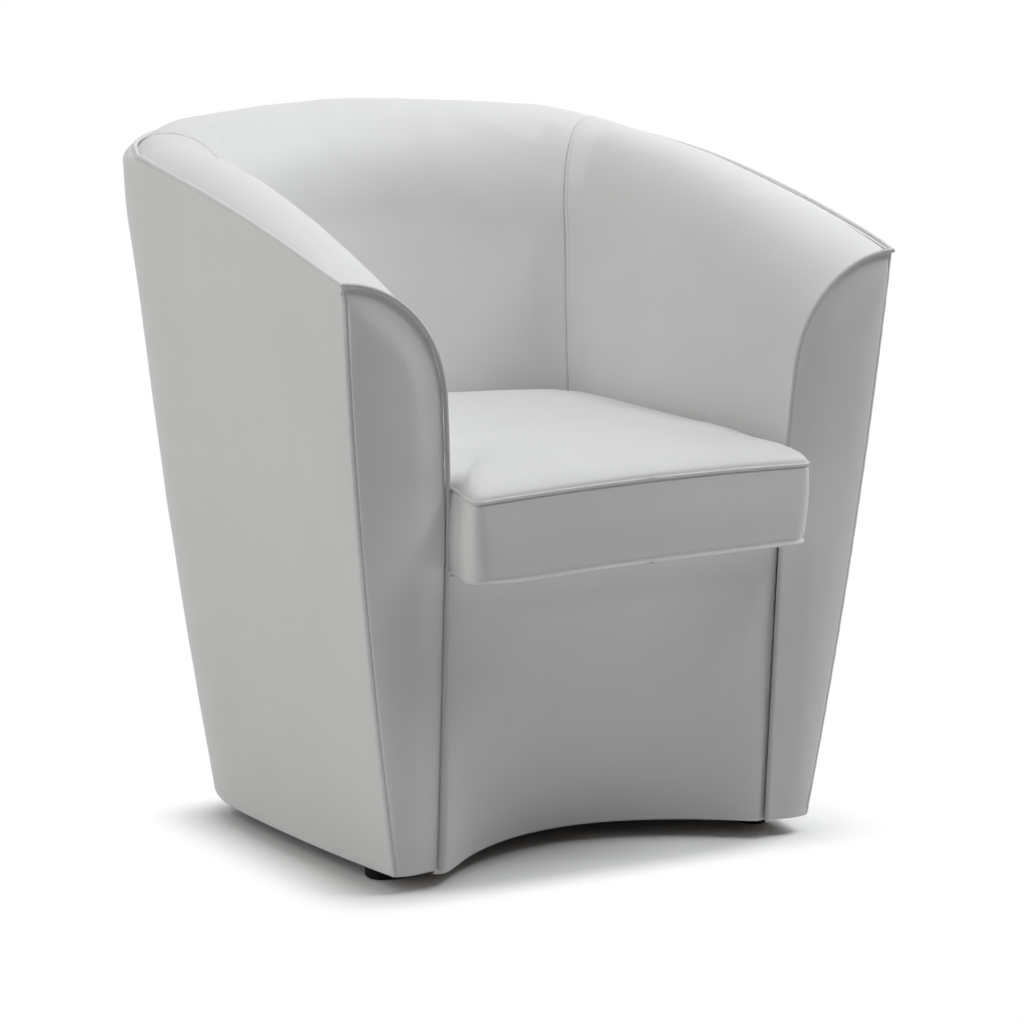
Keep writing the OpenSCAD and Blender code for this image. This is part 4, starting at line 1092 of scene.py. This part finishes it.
def floor_material():
    m = bpy.data.materials.new("floor_white")
    m.use_nodes = True
    t = m.node_tree
    t.nodes.clear()
    seen = add(t, "ShaderNodeBsdfDiffuse", Color=FLOOR_SEEN)
    other = add(t, "ShaderNodeBsdfDiffuse", Color=FLOOR_OTHER)
    plain = add(t, "ShaderNodeEmission", Color=WHITE, Strength=1.0)
    # Distance from the box's middle: the eighth root of the sum of the eighth powers
    tex = add(t, "ShaderNodeTexCoord")
    near = add(t, "ShaderNodeMapping", Location=(0, -SHADE_MID_Y / SHADE_HALF_Y, 0),
               Scale=(1 / SHADE_HALF_X, 1 / SHADE_HALF_Y, 0))
    link(t, tex, near, "Vector", "Object")
    last = near
    for operation in ("MULTIPLY", "MULTIPLY", "DOT_PRODUCT"):
        power = add(t, "ShaderNodeVectorMath", operation=operation)
        link(t, last, power, 0)
        link(t, last, power, 1)
        last = power
    far = add(t, "ShaderNodeMath", operation="POWER")
    far.inputs[1].default_value = 1 / 8
    fade = add(t, "ShaderNodeMapRange", interpolation_type="SMOOTHSTEP",
               **{"From Min": FADE_FROM, "From Max": FADE_TO})
    link(t, last, far, 0, "Value")
    link(t, far, fade, "Value")
    faded = mixed_shader(t, fade, seen, plain)
    out = add(t, "ShaderNodeOutputMaterial")
    link(t, mixed_shader(t, seen_rays(t), other, faded), out, "Surface")
    return m


def plain_floor():
    corners = [(x * FLOOR_HALF, y * FLOOR_HALF, 0) for x, y in ((-1, -1), (1, -1), (1, 1), (-1, 1))]
    ob = plain_object("floor", corners, [(0, 1, 2, 3)])
    ob.data.materials.append(floor_material())


def white_world():
    """Plain white where it is seen, and a dim cool fill for everything else."""
    world = bpy.data.worlds.new("studio")
    bpy.context.scene.world = world
    world.use_nodes = True
    t = world.node_tree
    t.nodes.clear()
    dim = add(t, "ShaderNodeBackground", Color=(0.97, 0.985, 1.0, 1), Strength=0.02)
    bright = add(t, "ShaderNodeBackground", Color=WHITE, Strength=1.0)
    out = add(t, "ShaderNodeOutputWorld")
    link(t, mixed_shader(t, seen_rays(t), dim, bright), out, "Surface")


WARM, COOL = (1.0, 0.985, 0.962), (0.975, 0.99, 1.0)
LAMP_TARGET = (0, 0, 0.45)


def lamp(name, at, size, power, colour):
    data = bpy.data.lights.new(name, "AREA")
    data.shape, data.size, data.size_y, data.energy, data.color = "RECTANGLE", size, size, power, colour
    ob = in_scene(name, data)
    ob.location = at
    ob.rotation_euler = (Vector(LAMP_TARGET) - Vector(at)).to_track_quat("-Z", "Y").to_euler()


# The camera fitted to the photo: focal length in pixels, turn and tilt in degrees, target and distance
PICTURE, FOCAL, SENSOR = 1024, 3721.865, 36.0
CAMERA_TURN, CAMERA_TILT = 29.5908, 10.1397
CAMERA_LOOKS_AT, CAMERA_DISTANCE = (0, -0.07198, 0.36147), 4.23729


def photo_camera():
    data = bpy.data.cameras.new("camera")
    data.sensor_width = SENSOR
    data.lens = FOCAL * SENSOR / PICTURE
    camera = in_scene("camera", data)
    az, el = math.radians(CAMERA_TURN), math.radians(CAMERA_TILT)
    look = Vector((math.sin(az) * math.cos(el), math.cos(az) * math.cos(el), -math.sin(el)))
    camera.location = Vector(CAMERA_LOOKS_AT) - CAMERA_DISTANCE * look
    camera.rotation_euler = (math.pi / 2 - el, 0, -az)
    bpy.context.scene.camera = camera


plain_floor()
white_world()
lamp("top_light", (0.2, 0.3, 3.0), 2.4, 21, COOL)
lamp("right_light", (2.6, -0.2, 2.6), 1.4, 34, COOL)
lamp("key_light", (1.5, -1.5, 3.4), 1.2, 41, COOL)
lamp("left_high_light", (-2.6, 0, 2.6), 1.8, 21, WARM)
lamp("left_light", (-3.3, 0.2, 0.9), 1.8, 17, WARM)
bpy.context.scene.view_settings.view_transform = "Standard"
photo_camera()
